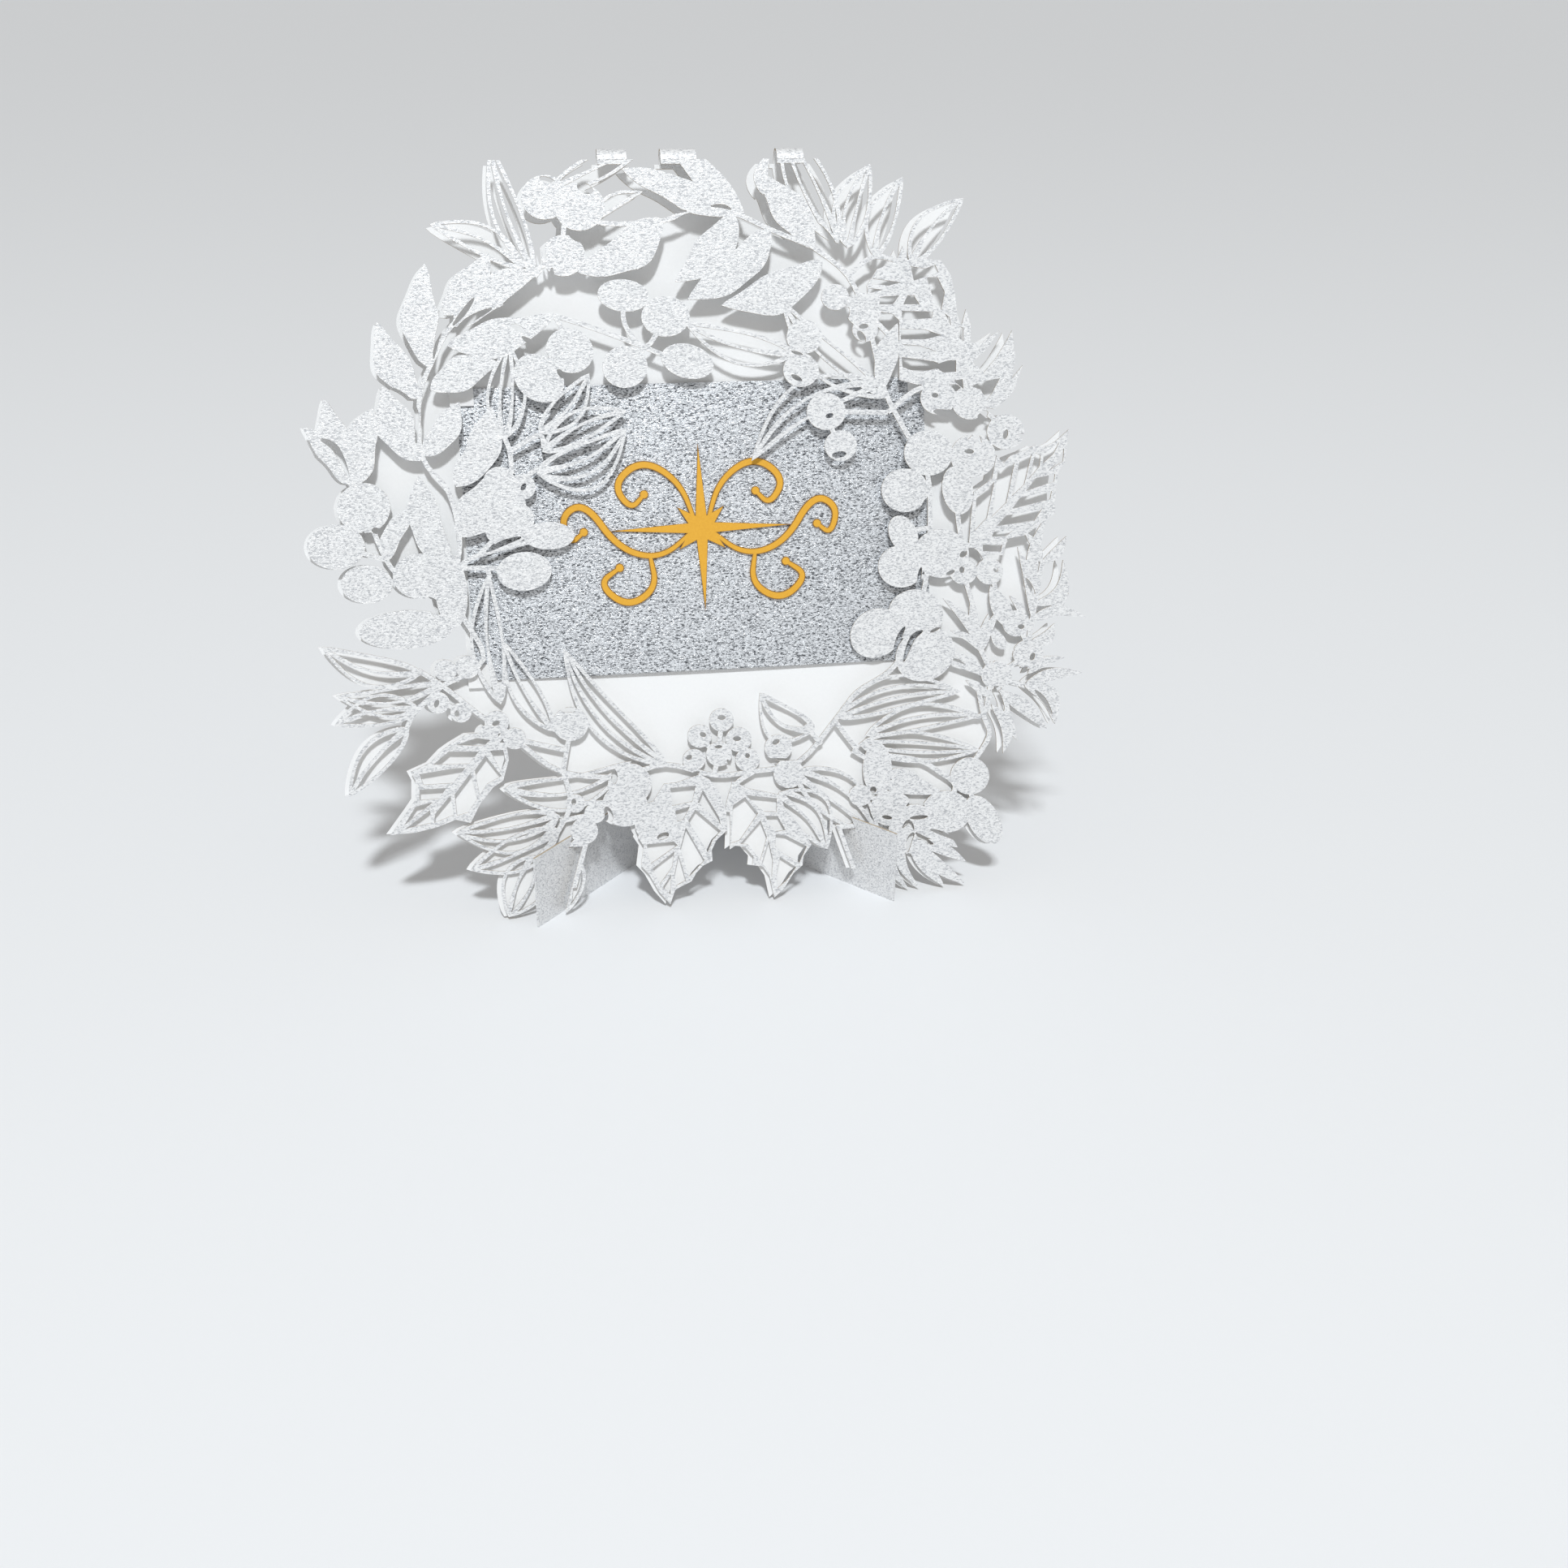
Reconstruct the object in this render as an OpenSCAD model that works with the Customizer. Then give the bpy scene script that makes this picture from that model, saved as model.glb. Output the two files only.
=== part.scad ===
// Standing wreath card: one folded sheet with a cut lace front, a tucked-in
// silver card with a gold flourish, and a folded strip that it stands in.

/* [Folded sheet] */
// Width of the wreath
wreath_w = 148; // [120:1:180]
// Thickness of the sheet
sheet_t = 0.35; // [0.25:0.05:0.5]
// How far the sheet leans back, in degrees
lean_deg = 20; // [10:1:24]
// Space between the two leaves at the fold
fold_gap = 4; // [2.5:0.25:5]
// Space between the two leaves at the floor
toe_gap = 0.5; // [0.3:0.1:1]
// How far the back leaf sits to the left of the front leaf
back_slip = 0.9; // [0:0.1:1.2]

/* [Silver card] */
// Width of the silver card
silver_w = 90; // [80:1:96]
// Height of the silver card
silver_h = 55; // [48:1:60]
// Thickness of the silver card
silver_t = 0.35; // [0.25:0.05:0.5]
// Size of the tabs that hold its corners
tab_size = 4.5; // [3:0.25:6]
// How far a tab reaches over the silver card
tab_reach = 3.2; // [2:0.1:4]

/* [Gold flourish] */
// Width of the flourish
gold_w = 54; // [40:1:60]
// Height of the flourish
gold_h = 32; // [24:1:36]
// Thickness of the gold card
gold_t = 0.45; // [0.3:0.05:0.6]
// Widest part of a stroke
stroke_w = 1.7; // [1.2:0.1:2.2]
// Narrowest part of a stroke
hairline_w = 0.5; // [0.4:0.05:0.7]

/* [Stand] */
// Distance between the two front ends of the strip
stand_span = 71; // [64:1:78]
// How far the strip reaches back
stand_reach = 38; // [34:1:46]
// Height of the strip
stand_h = 15.5; // [14:0.5:18]
// How far the front ends stand out before the sheet at the floor
stand_nose = 3.8; // [3:0.1:5]
// Thickness of the strip
stand_t = 0.35; // [0.25:0.05:0.5]
// Depth of the notch that the sheet sits in
notch_d = 2.6; // [2:0.1:4]
// Width of the open slots in the sheet
slot_w = 3.4; // [3:0.1:4.5]
// Room between the sheet and the notch
notch_clear = 0.2; // [0.1:0.05:0.3]

/* [Hidden] */

// The viewpoint that places on the sheet are read from, in picture points,
// degrees and shares of the wreath's width
focal_px = 2040;
mid_px = 966;
view_pitch = 27.5;
view_yaw = 9.5;
view_roll = 0.85;
view_lean = 18.6;
eye_shares = [-0.228, -1.9, 1.18];
wreath_px = 960;
sheet_normal = [0, cos(view_lean), -sin(view_lean)];

// Pieces of the lace that touch grow together by this much
kerf_share = 0.0012162;
kerf = wreath_w * kerf_share;
// Overlap of the leaves with the bend at the fold
seam_lap = 0.2;
// Width of ribs and of stems, and how far up a slot its rim starts
rib_share = 0.0037162;
rib_w = wreath_w * rib_share;
stem_share = 0.0064189;
stem_w = wreath_w * stem_share;
rim_from_share = 0.4;
// How far the slots are cut past the edge of the sheet
over = 1;
// The lace is cut in this many squares a side, which together are wider than the wreath
squares = 4;
squares_share = 1.03;
square_w = wreath_w * squares_share / squares;
// Bend radius of the strip, and how far its bend lies behind the sheet at the floor
stand_bend = 1.2;
strip_back = stand_reach - stand_nose - stand_bend / 4;
// Bow of the silver card, its place on the back leaf and the room at its tabs
silver_bow = 0.7;
silver_x = 0.5;
silver_up_share = 0.5034;
silver_z = wreath_w * silver_up_share;
tab_clear = 0.2;
glue_gap = 0.03;
// Strokes of the flourish that touch grow together by this much
gold_kerf = stroke_w / 10;

// Where the three bridges cross the fold, in picture points
fold_spans_px = [[[741, 182], [771, 182]], [[819, 182], [857, 182]], [[962, 182], [989, 182]]];

// Where the fold and the floor lie along the sheet
fold_z = sheet_z(fold_spans_px[0][0]) - fold_gap / 2 - sheet_t;
slot_top = (stand_h - notch_d) / cos(lean_deg);
gap_slope = atan((fold_gap - toe_gap) / fold_z);

function view_forward() = [
    sin(view_yaw) * cos(view_pitch), cos(view_yaw) * cos(view_pitch), -sin(view_pitch)];
function view_level() = [cos(view_yaw), -sin(view_yaw), 0];
function view_top() = cross(view_level(), view_forward());
function view_right() = view_level() * cos(view_roll) + view_top() * sin(view_roll);
function view_up() = view_top() * cos(view_roll) - view_level() * sin(view_roll);
function view_ray(p) = view_forward() + view_right() * (p[0] - mid_px) / focal_px
    - view_up() * (p[1] - mid_px) / focal_px;
function view_hit(p) =
    eye_shares - view_ray(p) * (eye_shares * sheet_normal) / (view_ray(p) * sheet_normal);
function sheet_x(p) = view_hit(p)[0] * wreath_w;
function sheet_z(p) = (view_hit(p)[1] * sin(view_lean) + view_hit(p)[2] * cos(view_lean)) * wreath_w;
function on_sheet(p) = [sheet_x(p), sheet_z(p)];
function px_size(n) = n * wreath_w / wreath_px;

// Each leaf row is base x, base y, tip x, tip y and width, and each leaf has a share of sideways bow
laurel_px = [
    [526, 450, 523, 325, 42], [545, 388, 602, 312, 44], [558, 402, 668, 334, 40],
    [551, 426, 684, 390, 44], [516, 490, 464, 399, 38], [530, 478, 614, 446, 36],
    [518, 566, 471, 484, 38], [523, 560, 566, 497, 30], [562, 598, 606, 500, 40],
    [551, 697, 515, 586, 42], [566, 662, 603, 588, 50], [474, 692, 511, 627, 24],
    [818, 272, 712, 323, 38], [853, 258, 767, 204, 36], [908, 268, 826, 150, 54],
    [902, 262, 834, 348, 42], [950, 283, 849, 367, 38], [1012, 322, 891, 373, 40],
    [1002, 306, 944, 186, 32], [434, 592, 399, 493, 36], [430, 595, 373, 527, 33],
    [437, 594, 470, 504, 58], [1016, 911, 960, 870, 22], [1088, 972, 1190, 1003, 44],
    [1108, 1006, 1186, 1060, 18], [1104, 1004, 1162, 1084, 18], [1106, 1000, 1130, 1086, 16],
    [1030, 888, 1112, 836, 36], [1086, 478, 1106, 400, 26]];
laurel_bow_shares = [
    0.06, -0.08, 0.08, -0.06, 0.08, 0.05, 0.08, -0.06, -0.1, 0.08, -0.1, 0.1, 0.08, -0.08, -0.08, 0.1,
    0.08, 0.1, -0.2, 0.05, -0.05, 0.1, 0.1, 0.05, -0.05, -0.05, -0.05, 0.08, 0.05];
ribbed_px = [
    [655, 332, 604, 183, 40], [642, 323, 530, 277, 32], [695, 242, 800, 158, 30],
    [1034, 292, 966, 140, 56], [1044, 304, 1071, 205, 44], [1078, 314, 1112, 222, 38],
    [1119, 326, 1187, 247, 36], [621, 540, 625, 429, 48], [664, 532, 724, 462, 38],
    [669, 557, 770, 510, 38], [661, 580, 770, 528, 62], [518, 830, 397, 800, 36],
    [540, 843, 416, 862, 38], [512, 874, 413, 891, 40], [502, 895, 431, 981, 42],
    [684, 1003, 563, 1024, 42], [687, 1022, 582, 1072, 42], [656, 1056, 634, 1120, 40],
    [716, 1028, 742, 1104, 38], [966, 977, 1018, 1037, 38], [990, 954, 1085, 1024, 54],
    [1040, 897, 1184, 878, 38], [1050, 924, 1214, 918, 48]];
ribbed_bow_shares = [
    0.05, -0.06, 0.05, -0.05, 0.05, 0.06, 0.06, 0, -0.08, 0.08, -0.14, 0.06, 0.05, 0.06, -0.06, -0.06,
    -0.06, 0.06, -0.05, -0.08, -0.1, 0.05, -0.04];
willow_px = [
    [1092, 486, 963, 371, 36], [980, 433, 843, 397, 34], [1080, 474, 928, 566, 44],
    [617, 866, 604, 708, 44], [680, 900, 622, 793, 32], [820, 942, 696, 801, 38],
    [620, 968, 770, 940, 30], [990, 904, 938, 850, 44]];
willow_bow_shares = [
    0.08, 0.08, -0.12, 0.06, 0.06, 0.1, 0.12, 0.08];
holly_px = [
    [1184, 680, 1320, 529, 108], [896, 975, 828, 1112, 112], [906, 965, 954, 1104, 116],
    [628, 906, 480, 1028, 116]];
holly_bow_shares = [
    0.05, 0.05, -0.05, 0.05];
// Each sprig row is base x, base y, tip x, tip y and needle length, and each has a count of needle pairs
sprig_px = [
    [1112, 430, 1144, 318, 54], [1140, 482, 1248, 404, 54], [1268, 806, 1308, 660, 58],
    [1206, 806, 1178, 690, 54], [1225, 832, 1330, 757, 52], [1212, 882, 1328, 832, 54],
    [1196, 872, 1286, 904, 46]];
sprig_counts = [
    2, 2, 3, 2, 2, 2, 2];
// Each round row is centre x, centre y, half length and half width, and each has a turn in degrees
round_px = [
    [768, 367, 30, 18], [819, 392, 27, 22], [771, 453, 29, 22], [838, 447, 36, 20], [701, 431, 29, 22],
    [666, 466, 32, 25], [1144, 558, 28, 26], [1115, 606, 29, 26], [1179, 606, 30, 18],
    [1115, 655, 22, 15], [1109, 702, 28, 26], [1160, 680, 31, 29], [1128, 756, 33, 30],
    [1080, 778, 32, 27], [1138, 803, 36, 30], [448, 624, 31, 29], [417, 673, 36, 26],
    [452, 719, 30, 23], [516, 708, 31, 25], [497, 772, 58, 22], [554, 727, 46, 18], [625, 645, 32, 21],
    [676, 662, 32, 18], [646, 703, 34, 23], [1198, 956, 21, 19], [1207, 1018, 20, 17],
    [1098, 996, 25, 21], [672, 1040, 18, 14], [1088, 950, 20, 16]];
round_deg = [
    10, 0, 0, -25, 30, 40, 0, 0, 80, 70, 0, 0, 0, -35, 40, 0, 0, 0, 0, -5, 85, 35, 0, -5, 0, 30, 0, 0,
    20];
// Each berry row is centre x, centre y and radius
berry_px = [
    [669, 242, 25], [714, 255, 25], [692, 313, 20], [1029, 364, 16], [1064, 382, 19], [1066, 406, 15],
    [991, 415, 21], [987, 453, 21], [1016, 507, 21], [1034, 549, 18], [1156, 488, 19], [1195, 494, 20],
    [1239, 529, 19], [1201, 565, 25], [1185, 702, 15], [1218, 704, 15], [1250, 765, 15],
    [1265, 800, 16], [1225, 835, 18], [889, 889, 15], [862, 908, 15], [908, 910, 15], [885, 927, 14],
    [855, 936, 14], [919, 934, 14], [962, 920, 16], [968, 956, 19], [729, 1007, 13], [771, 991, 28],
    [812, 1014, 25], [551, 825, 15], [574, 821, 15], [540, 864, 13], [569, 876, 13], [615, 892, 14],
    [636, 914, 13], [703, 896, 22], [615, 592, 18], [641, 598, 16], [628, 622, 18]];
// Each vine is a row of points
vine_px = [
    [[1000, 303], [1045, 340], [1070, 400], [1090, 480], [1115, 530], [1142, 580], [1146, 650],
    [1140, 720], [1120, 790], [1090, 850], [1035, 892], [985, 938], [930, 950], [880, 955], [820, 942],
    [760, 957], [690, 950], [640, 915], [590, 880], [545, 845], [515, 826]], [[545, 845], [596, 812],
    [566, 750], [564, 700], [566, 660], [552, 605], [520, 562], [517, 490], [535, 440], [556, 402],
    [600, 365], [660, 332], [690, 313], [700, 258], [742, 275], [816, 272], [853, 258], [902, 262],
    [950, 283], [1002, 304]], [[680, 388], [725, 402], [795, 428], [838, 447]], [[768, 367], [770, 400],
    [795, 428], [819, 392]], [[771, 453], [795, 428]], [[666, 466], [701, 431], [684, 390]],
    [[430, 592], [448, 624], [476, 690], [500, 715], [550, 742]], [[417, 673], [476, 690]], [[452, 719],
    [500, 715]], [[631, 584], [628, 556], [621, 538]], [[628, 556], [664, 536], [670, 552]],
    [[641, 598], [652, 585], [664, 576]], [[564, 700], [590, 684], [676, 662]], [[564, 700], [600, 700],
    [646, 703]], [[590, 684], [625, 645], [628, 622]], [[604, 712], [600, 700]], [[1094, 508],
    [1140, 476], [1195, 494], [1240, 530]], [[1140, 476], [1116, 430]], [[1064, 380], [1112, 430]],
    [[1240, 530], [1201, 565], [1179, 606], [1186, 676]], [[1094, 508], [1016, 507]], [[1016, 507],
    [1034, 549]], [[1160, 680], [1200, 672], [1220, 702], [1232, 745], [1250, 765]], [[1250, 765],
    [1266, 804], [1225, 835], [1212, 880], [1186, 878]], [[1144, 806], [1225, 835]], [[1030, 890],
    [1056, 924]], [[1212, 880], [1208, 918]], [[1206, 806], [1225, 835]], [[1050, 924], [1085, 950],
    [1096, 1000], [1150, 1030]], [[1085, 950], [1198, 956]], [[1198, 956], [1207, 1018]], [[694, 950],
    [703, 990], [690, 1020], [676, 1042], [660, 1060]], [[690, 1012], [729, 1007], [716, 1030]],
    [[703, 990], [771, 991], [812, 1014]], [[703, 896], [694, 950]], [[962, 920], [968, 956],
    [990, 954]], [[930, 950], [900, 975], [896, 1000]], [[1119, 326], [1078, 316], [1045, 340]],
    [[615, 892], [636, 914]], [[1109, 702], [1142, 712]], [[1115, 655], [1148, 650]], [[1029, 364],
    [1062, 372]], [[889, 889], [885, 927], [880, 955]], [[862, 908], [885, 927], [908, 910]],
    [[545, 845], [506, 884]], [[540, 864], [569, 876]]];

// Points, sides and half widths along a leaf
function side_of(b, t) = [b[1] - t[1], t[0] - b[0]] / norm(t - b);
function spine(b, t, s, bow) = b + (t - b) * s + side_of(b, t) * norm(t - b) * bow * sin(180 * s);
function swell(s) = pow(sin(180 * pow(s, 0.85)), 0.78);
function leaf_point(b, t, bow, s, reach) = spine(b, t, s, bow) + side_of(b, t) * reach;
function strip_outline(upper, lower) = concat(upper, [for (i = [len(lower) - 1:-1:0]) lower[i]]);
function leaf_outline(b, t, w, bow, n) = strip_outline(
    [for (i = [0:n]) leaf_point(b, t, bow, i / n, swell(i / n) * w / 2)],
    [for (i = [1:n - 1]) leaf_point(b, t, bow, i / n, -swell(i / n) * w / 2)]);

// One of the long cuts between the ribs of a leaf
slit_from_share = 0.16;
slit_to_share = 0.88;
slit_steps = 2;
leaf_steps = 4;
// A leaf wider than this has one more cut
wide_ribbed_px = 43;
wide_willow_px = 34;
function slit_open(w, s, cuts) = max((swell(s) * w - 2 * rib_w - (cuts - 1) * rib_w) / cuts, 0);
function slit_mid(w, s, cuts, k) = (k - (cuts - 1) / 2) * (slit_open(w, s, cuts) + rib_w);
function slit_s(i, n) = slit_from_share + (slit_to_share - slit_from_share) * i / n;
function slit_half(w, s, cuts, i) = slit_open(w, s, cuts) * sin(180 * i / slit_steps) / 2;
function slit_edge(b, t, w, bow, cuts, k, way) = [
    for (i = [0:slit_steps])
        let (s = slit_s(i, slit_steps))
            leaf_point(b, t, bow, s, slit_mid(w, s, cuts, k) + way * slit_half(w, s, cuts, i))];
function slit_outline(b, t, w, bow, cuts, k) =
    strip_outline(slit_edge(b, t, w, bow, cuts, k, 1), slit_edge(b, t, w, bow, cuts, k, -1));

// A thin ribbon through points, rounded by passing through the middles of its links
function smooth(p) = concat(
    [p[0]],
    [for (i = [1:len(p) - 2]) each [(p[i - 1] + 3 * p[i]) / 4, (3 * p[i] + p[i + 1]) / 4]],
    [p[len(p) - 1]]);
function turn_at(p, i) = side_of(p[max(i - 1, 0)], p[min(i + 1, len(p) - 1)]);
function ribbon(p, widths) = strip_outline(
    [for (i = [0:len(p) - 1]) p[i] + turn_at(p, i) * widths[i] / 2],
    [for (i = [0:len(p) - 1]) p[i] - turn_at(p, i) * widths[i] / 2]);

module leaf(row, bow, cuts) {
    b = on_sheet([row[0], row[1]]);
    t = on_sheet([row[2], row[3]]);
    w = px_size(row[4]);
    difference() {
        polygon(leaf_outline(b, t, w, bow, leaf_steps));
        if (cuts > 0)
            for (k = [0:cuts - 1])
                polygon(slit_outline(b, t, w, bow, cuts, k));
    }
}

// Spines and hollows of a holly leaf: shares of its length, each with a share of its half width
holly_shares = [[0, 0.06], [0.1, 0.42], [0.2, 0.92], [0.26, 0.66], [0.34, 0.66], [0.46, 1], [0.51, 0.68],
    [0.6, 0.6], [0.72, 0.72], [0.76, 0.42], [0.88, 0.2], [1, 0]];
vein_from_shares = [0.08, 0.3, 0.56];
vein_to_shares = [0.26, 0.52, 0.8];
vein_lean_share = 0.1;
vein_shares = [[0.18, 0.62], [0.36, 0.5], [0.66, 0.44], [0.9, 0.08]];
function holly_edge(b, t, half, bow, way) = [
    for (p = holly_shares) leaf_point(b, t, bow, p[0], way * half * p[1])];
function vein_cell(b, t, half, bow, way, from, to) = concat(
    [for (s = [to, from]) leaf_point(b, t, bow, s, way * rib_w / 2)],
    [for (s = [from + vein_lean_share, to + vein_lean_share])
        leaf_point(b, t, bow, s, way * half * lookup(s, vein_shares))]);

module holly(row, bow) {
    b = on_sheet([row[0], row[1]]);
    t = on_sheet([row[2], row[3]]);
    half = px_size(row[4]) / 2;
    difference() {
        polygon(strip_outline(holly_edge(b, t, half, bow, 1), holly_edge(b, t, half, bow, -1)));
        for (way = [-1, 1], i = [0:len(vein_from_shares) - 1])
            polygon(vein_cell(b, t, half, bow, way, vein_from_shares[i], vein_to_shares[i]));
    }
}

needle_w_share = 0.24;
needle_mid_share = 0.45;
needle_deg = 30;
module sprig(row, pairs) {
    b = on_sheet([row[0], row[1]]);
    t = on_sheet([row[2], row[3]]);
    reach = px_size(row[4]);
    dir = (t - b) / norm(t - b);
    polygon(ribbon([b, t - dir * reach / 2, t], [stem_w, stem_w * 1.3, rib_w / 2]));
    for (i = [1:pairs], way = [-1, 1]) {
        foot = b + (t - b - dir * reach * cos(needle_deg)) * i / pairs;
        out = (dir * cos(needle_deg) + side_of(b, t) * way * sin(needle_deg)) * reach;
        across = side_of(b, b + out) * reach * needle_w_share / 2;
        middle = foot + out * needle_mid_share;
        polygon([foot, middle + across, foot + out, middle - across]);
    }
}

module round_leaf(row, turn) {
    translate(on_sheet([row[0], row[1]]))
        rotate(turn)
            scale([px_size(row[2]), px_size(row[3])])
                circle(1, $fn = 8);
}

module berry(row) {
    translate(on_sheet([row[0], row[1]]))
        circle(px_size(row[2]), $fn = 6);
}

module vine(row) {
    path = [for (p = row) on_sheet(p)];
    polygon(ribbon(path, [for (p = path) stem_w]));
}

// The whole wreath as cut, before the fold trims it
module wreath_cut() {
    for (i = [0:len(laurel_px) - 1])
        leaf(laurel_px[i], laurel_bow_shares[i], 0);
    for (i = [0:len(ribbed_px) - 1])
        leaf(ribbed_px[i], ribbed_bow_shares[i], ribbed_px[i][4] > wide_ribbed_px ? 3 : 2);
    for (i = [0:len(willow_px) - 1])
        leaf(willow_px[i], willow_bow_shares[i], willow_px[i][4] > wide_willow_px ? 2 : 1);
    for (i = [0:len(holly_px) - 1])
        holly(holly_px[i], holly_bow_shares[i]);
    for (i = [0:len(sprig_px) - 1])
        sprig(sprig_px[i], sprig_counts[i]);
    for (i = [0:len(round_px) - 1])
        round_leaf(round_px[i], round_deg[i]);
    for (row = berry_px)
        berry(row);
    for (row = vine_px)
        vine(row);
}

// The cut wreath with the rims of its slots, trimmed flat along the fold
module trimmed_wreath() {
    difference() {
        union() {
            wreath_cut();
            slot_rims();
        }
        translate([-wreath_w, fold_z + seam_lap])
            square([2 * wreath_w, wreath_w]);
    }
}

// Where the strip's legs cross the sheet, z along the sheet
function leg_x(z) = stand_span / 2 * (1 - (z * sin(lean_deg) + stand_nose) / stand_reach);

module stand_slots() {
    for (way = [-1, 1])
        scale([way, 1])
            polygon([
                [leg_x(-over) - slot_w / 2, -over], [leg_x(-over) + slot_w / 2, -over],
                [leg_x(slot_top) + slot_w / 2, slot_top], [leg_x(slot_top) - slot_w / 2, slot_top]]);
}

// A rim round the upper part of each slot holds the leaves that the slot cuts through
module slot_rims() {
    difference() {
        offset(delta = stem_w)
            stand_slots();
        translate([-wreath_w, slot_top * rim_from_share - wreath_w])
            square([2 * wreath_w, wreath_w]);
    }
}

module lace() {
    offset(delta = kerf)
        difference() {
            trimmed_wreath();
            stand_slots();
        }
}

// The lace is cut square by square, and the squares join edge to edge
module lace_squares() {
    for (i = [0:squares - 1], k = [0:squares - 1])
        offset(delta = 0)
            intersection() {
                lace();
                translate([(i - squares / 2) * square_w, k * square_w])
                    square(square_w);
            }
}

// The whole outline of the wreath, which also backs the silver card and its tabs
module back_outline() {
    offset(delta = kerf / 2)
        difference() {
            fill() {
                translate([-back_slip, 0])
                    offset(delta = kerf / 2)
                        trimmed_wreath();
                translate([silver_x, silver_z])
                    square([silver_w, silver_h] + 2 * (tab_size - tab_reach) * [1, 1], center = true);
            }
            stand_slots();
            at_corners()
                translate([-tab_reach, -tab_reach])
                    square(tab_reach - tab_clear);
        }
}

// The four corners of the silver card, each turned so that it points to +x, +z
module at_corners() {
    for (way_x = [-1, 1], way_z = [-1, 1])
        translate([silver_x + way_x * silver_w / 2, silver_z + way_z * silver_h / 2])
            scale([way_x, way_z])
                children();
}

module upright(thickness) {
    rotate([90, 0, 0])
        linear_extrude(thickness)
            children();
}

module leaned() {
    translate([0, -strip_back, 0])
        rotate([-lean_deg, 0, 0])
            children();
}

// A tab is cut from the back leaf and lifted over a corner of the silver card
module corner_tabs() {
    translate([0, -silver_t - tab_clear, 0])
        upright(sheet_t)
            at_corners()
                translate([-tab_reach, -tab_reach])
                    square(tab_size);
    upright(silver_t + tab_clear + sheet_t / 2)
        at_corners()
            difference() {
                translate([-tab_reach, -tab_reach])
                    square(tab_size);
                translate([-2 * tab_reach, -2 * tab_reach])
                    square(2 * tab_reach + tab_clear);
            }
}

module fold_bridge(span) {
    from = sheet_x(span[0]) - back_slip;
    translate([from, -fold_gap / 2, fold_z])
        rotate([90, 0, 90])
            linear_extrude(sheet_x(span[1]) - from)
                difference() {
                    circle(fold_gap / 2 + sheet_t, $fn = 24);
                    circle(fold_gap / 2, $fn = 24);
                    translate([-fold_gap, -2 * fold_gap])
                        square(2 * fold_gap);
                }
}

module card_sheet() {
    color("white")
        leaned() {
            translate([0, -toe_gap, 0])
                rotate([gap_slope, 0, 0])
                    upright(sheet_t)
                        lace_squares();
            translate([0, sheet_t, 0])
                upright(sheet_t)
                    back_outline();
            corner_tabs();
            for (span = fold_spans_px)
                fold_bridge(span);
        }
}

// Radius of the silver card's bow, which its tucked corners give it
bow_r = (silver_w * silver_w / 4 + silver_bow * silver_bow) / (2 * silver_bow);
module silver_card() {
    color("silver")
        leaned()
            translate([silver_x, bow_r - silver_bow - glue_gap, silver_z - silver_h / 2])
                linear_extrude(silver_h)
                    intersection() {
                        difference() {
                            circle(bow_r + silver_t, $fn = 720);
                            circle(bow_r, $fn = 720);
                        }
                        translate([-silver_w / 2, -2 * bow_r])
                            square([silver_w, 2 * bow_r]);
                    }
}

// Strokes of the flourish's right half, as shares of its half width and half height
scroll_shares = [
    [[0.04, 0], [0.3, -0.36], [0.6, -0.22], [0.82, 0.36], [1, 0.2], [0.94, -0.14], [0.84, 0]],
    [[0.04, 0.05], [0.14, 0.56], [0.4, 0.84], [0.62, 0.56], [0.5, 0.24], [0.4, 0.42]],
    [[0.38, -0.3], [0.34, -0.7], [0.56, -0.92], [0.76, -0.62], [0.6, -0.44]]];
drop_shares = [[0.84, 0], [0.4, 0.42], [0.6, -0.44]];
ray_shares = [1, 0.16, 0.36, 0.16];
star_w_share = 0.66;
module flourish() {
    translate([silver_x, silver_z])
        offset(delta = gold_kerf) {
            polygon([for (i = [0:15]) star_point(i)]);
            for (way = [-1, 1])
                scale([way, 1]) {
                    for (row = scroll_shares)
                        stroke(smooth(flourish_points(row)));
                    for (p = flourish_points(drop_shares))
                        translate(p)
                            circle(stroke_w / 2, $fn = 6);
                }
        }
}
function star_point(i) =
    ray_shares[i % 4] / 2 * [star_w_share * gold_w * cos(22.5 * i), gold_h * sin(22.5 * i)];
function flourish_points(row) = [for (p = row) [p[0] * gold_w / 2, p[1] * gold_h / 2]];
module stroke(path) {
    polygon(ribbon(path, [for (i = [0:len(path) - 1])
        hairline_w + (stroke_w - hairline_w) * sin(180 * i / (len(path) - 1))]));
}

module gold_flourish() {
    color("goldenrod")
        leaned()
            translate([0, -silver_bow - silver_t - 2 * glue_gap, 0])
                upright(gold_t)
                    flourish();
}

stack_front = toe_gap + slot_top * tan(gap_slope) + sheet_t;
module stand() {
    half = stand_span / 2;
    front = -stand_nose - strip_back;
    turn = -stand_bend * 3 / 4;
    path = [[-half, front], [-stand_bend, turn], [0, 0], [stand_bend, turn], [half, front]];
    notch_y = -stack_front - notch_clear;
    notch_z = slot_top - notch_clear;
    color("snow")
        difference() {
            linear_extrude(stand_h)
                polygon(ribbon(path, [for (p = path) stand_t]));
            leaned()
                for (way = [-1, 1])
                    translate([way * leg_x(slot_top) - 2 * slot_w, notch_y, notch_z])
                        cube([4 * slot_w, stack_front + sheet_t + 2 * notch_clear, 2 * notch_d]);
        }
}

card_sheet();
silver_card();
gold_flourish();
stand();
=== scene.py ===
import math
import bpy
from mathutils import Matrix, Vector
from mathutils.geometry import delaunay_2d_cdt


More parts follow.
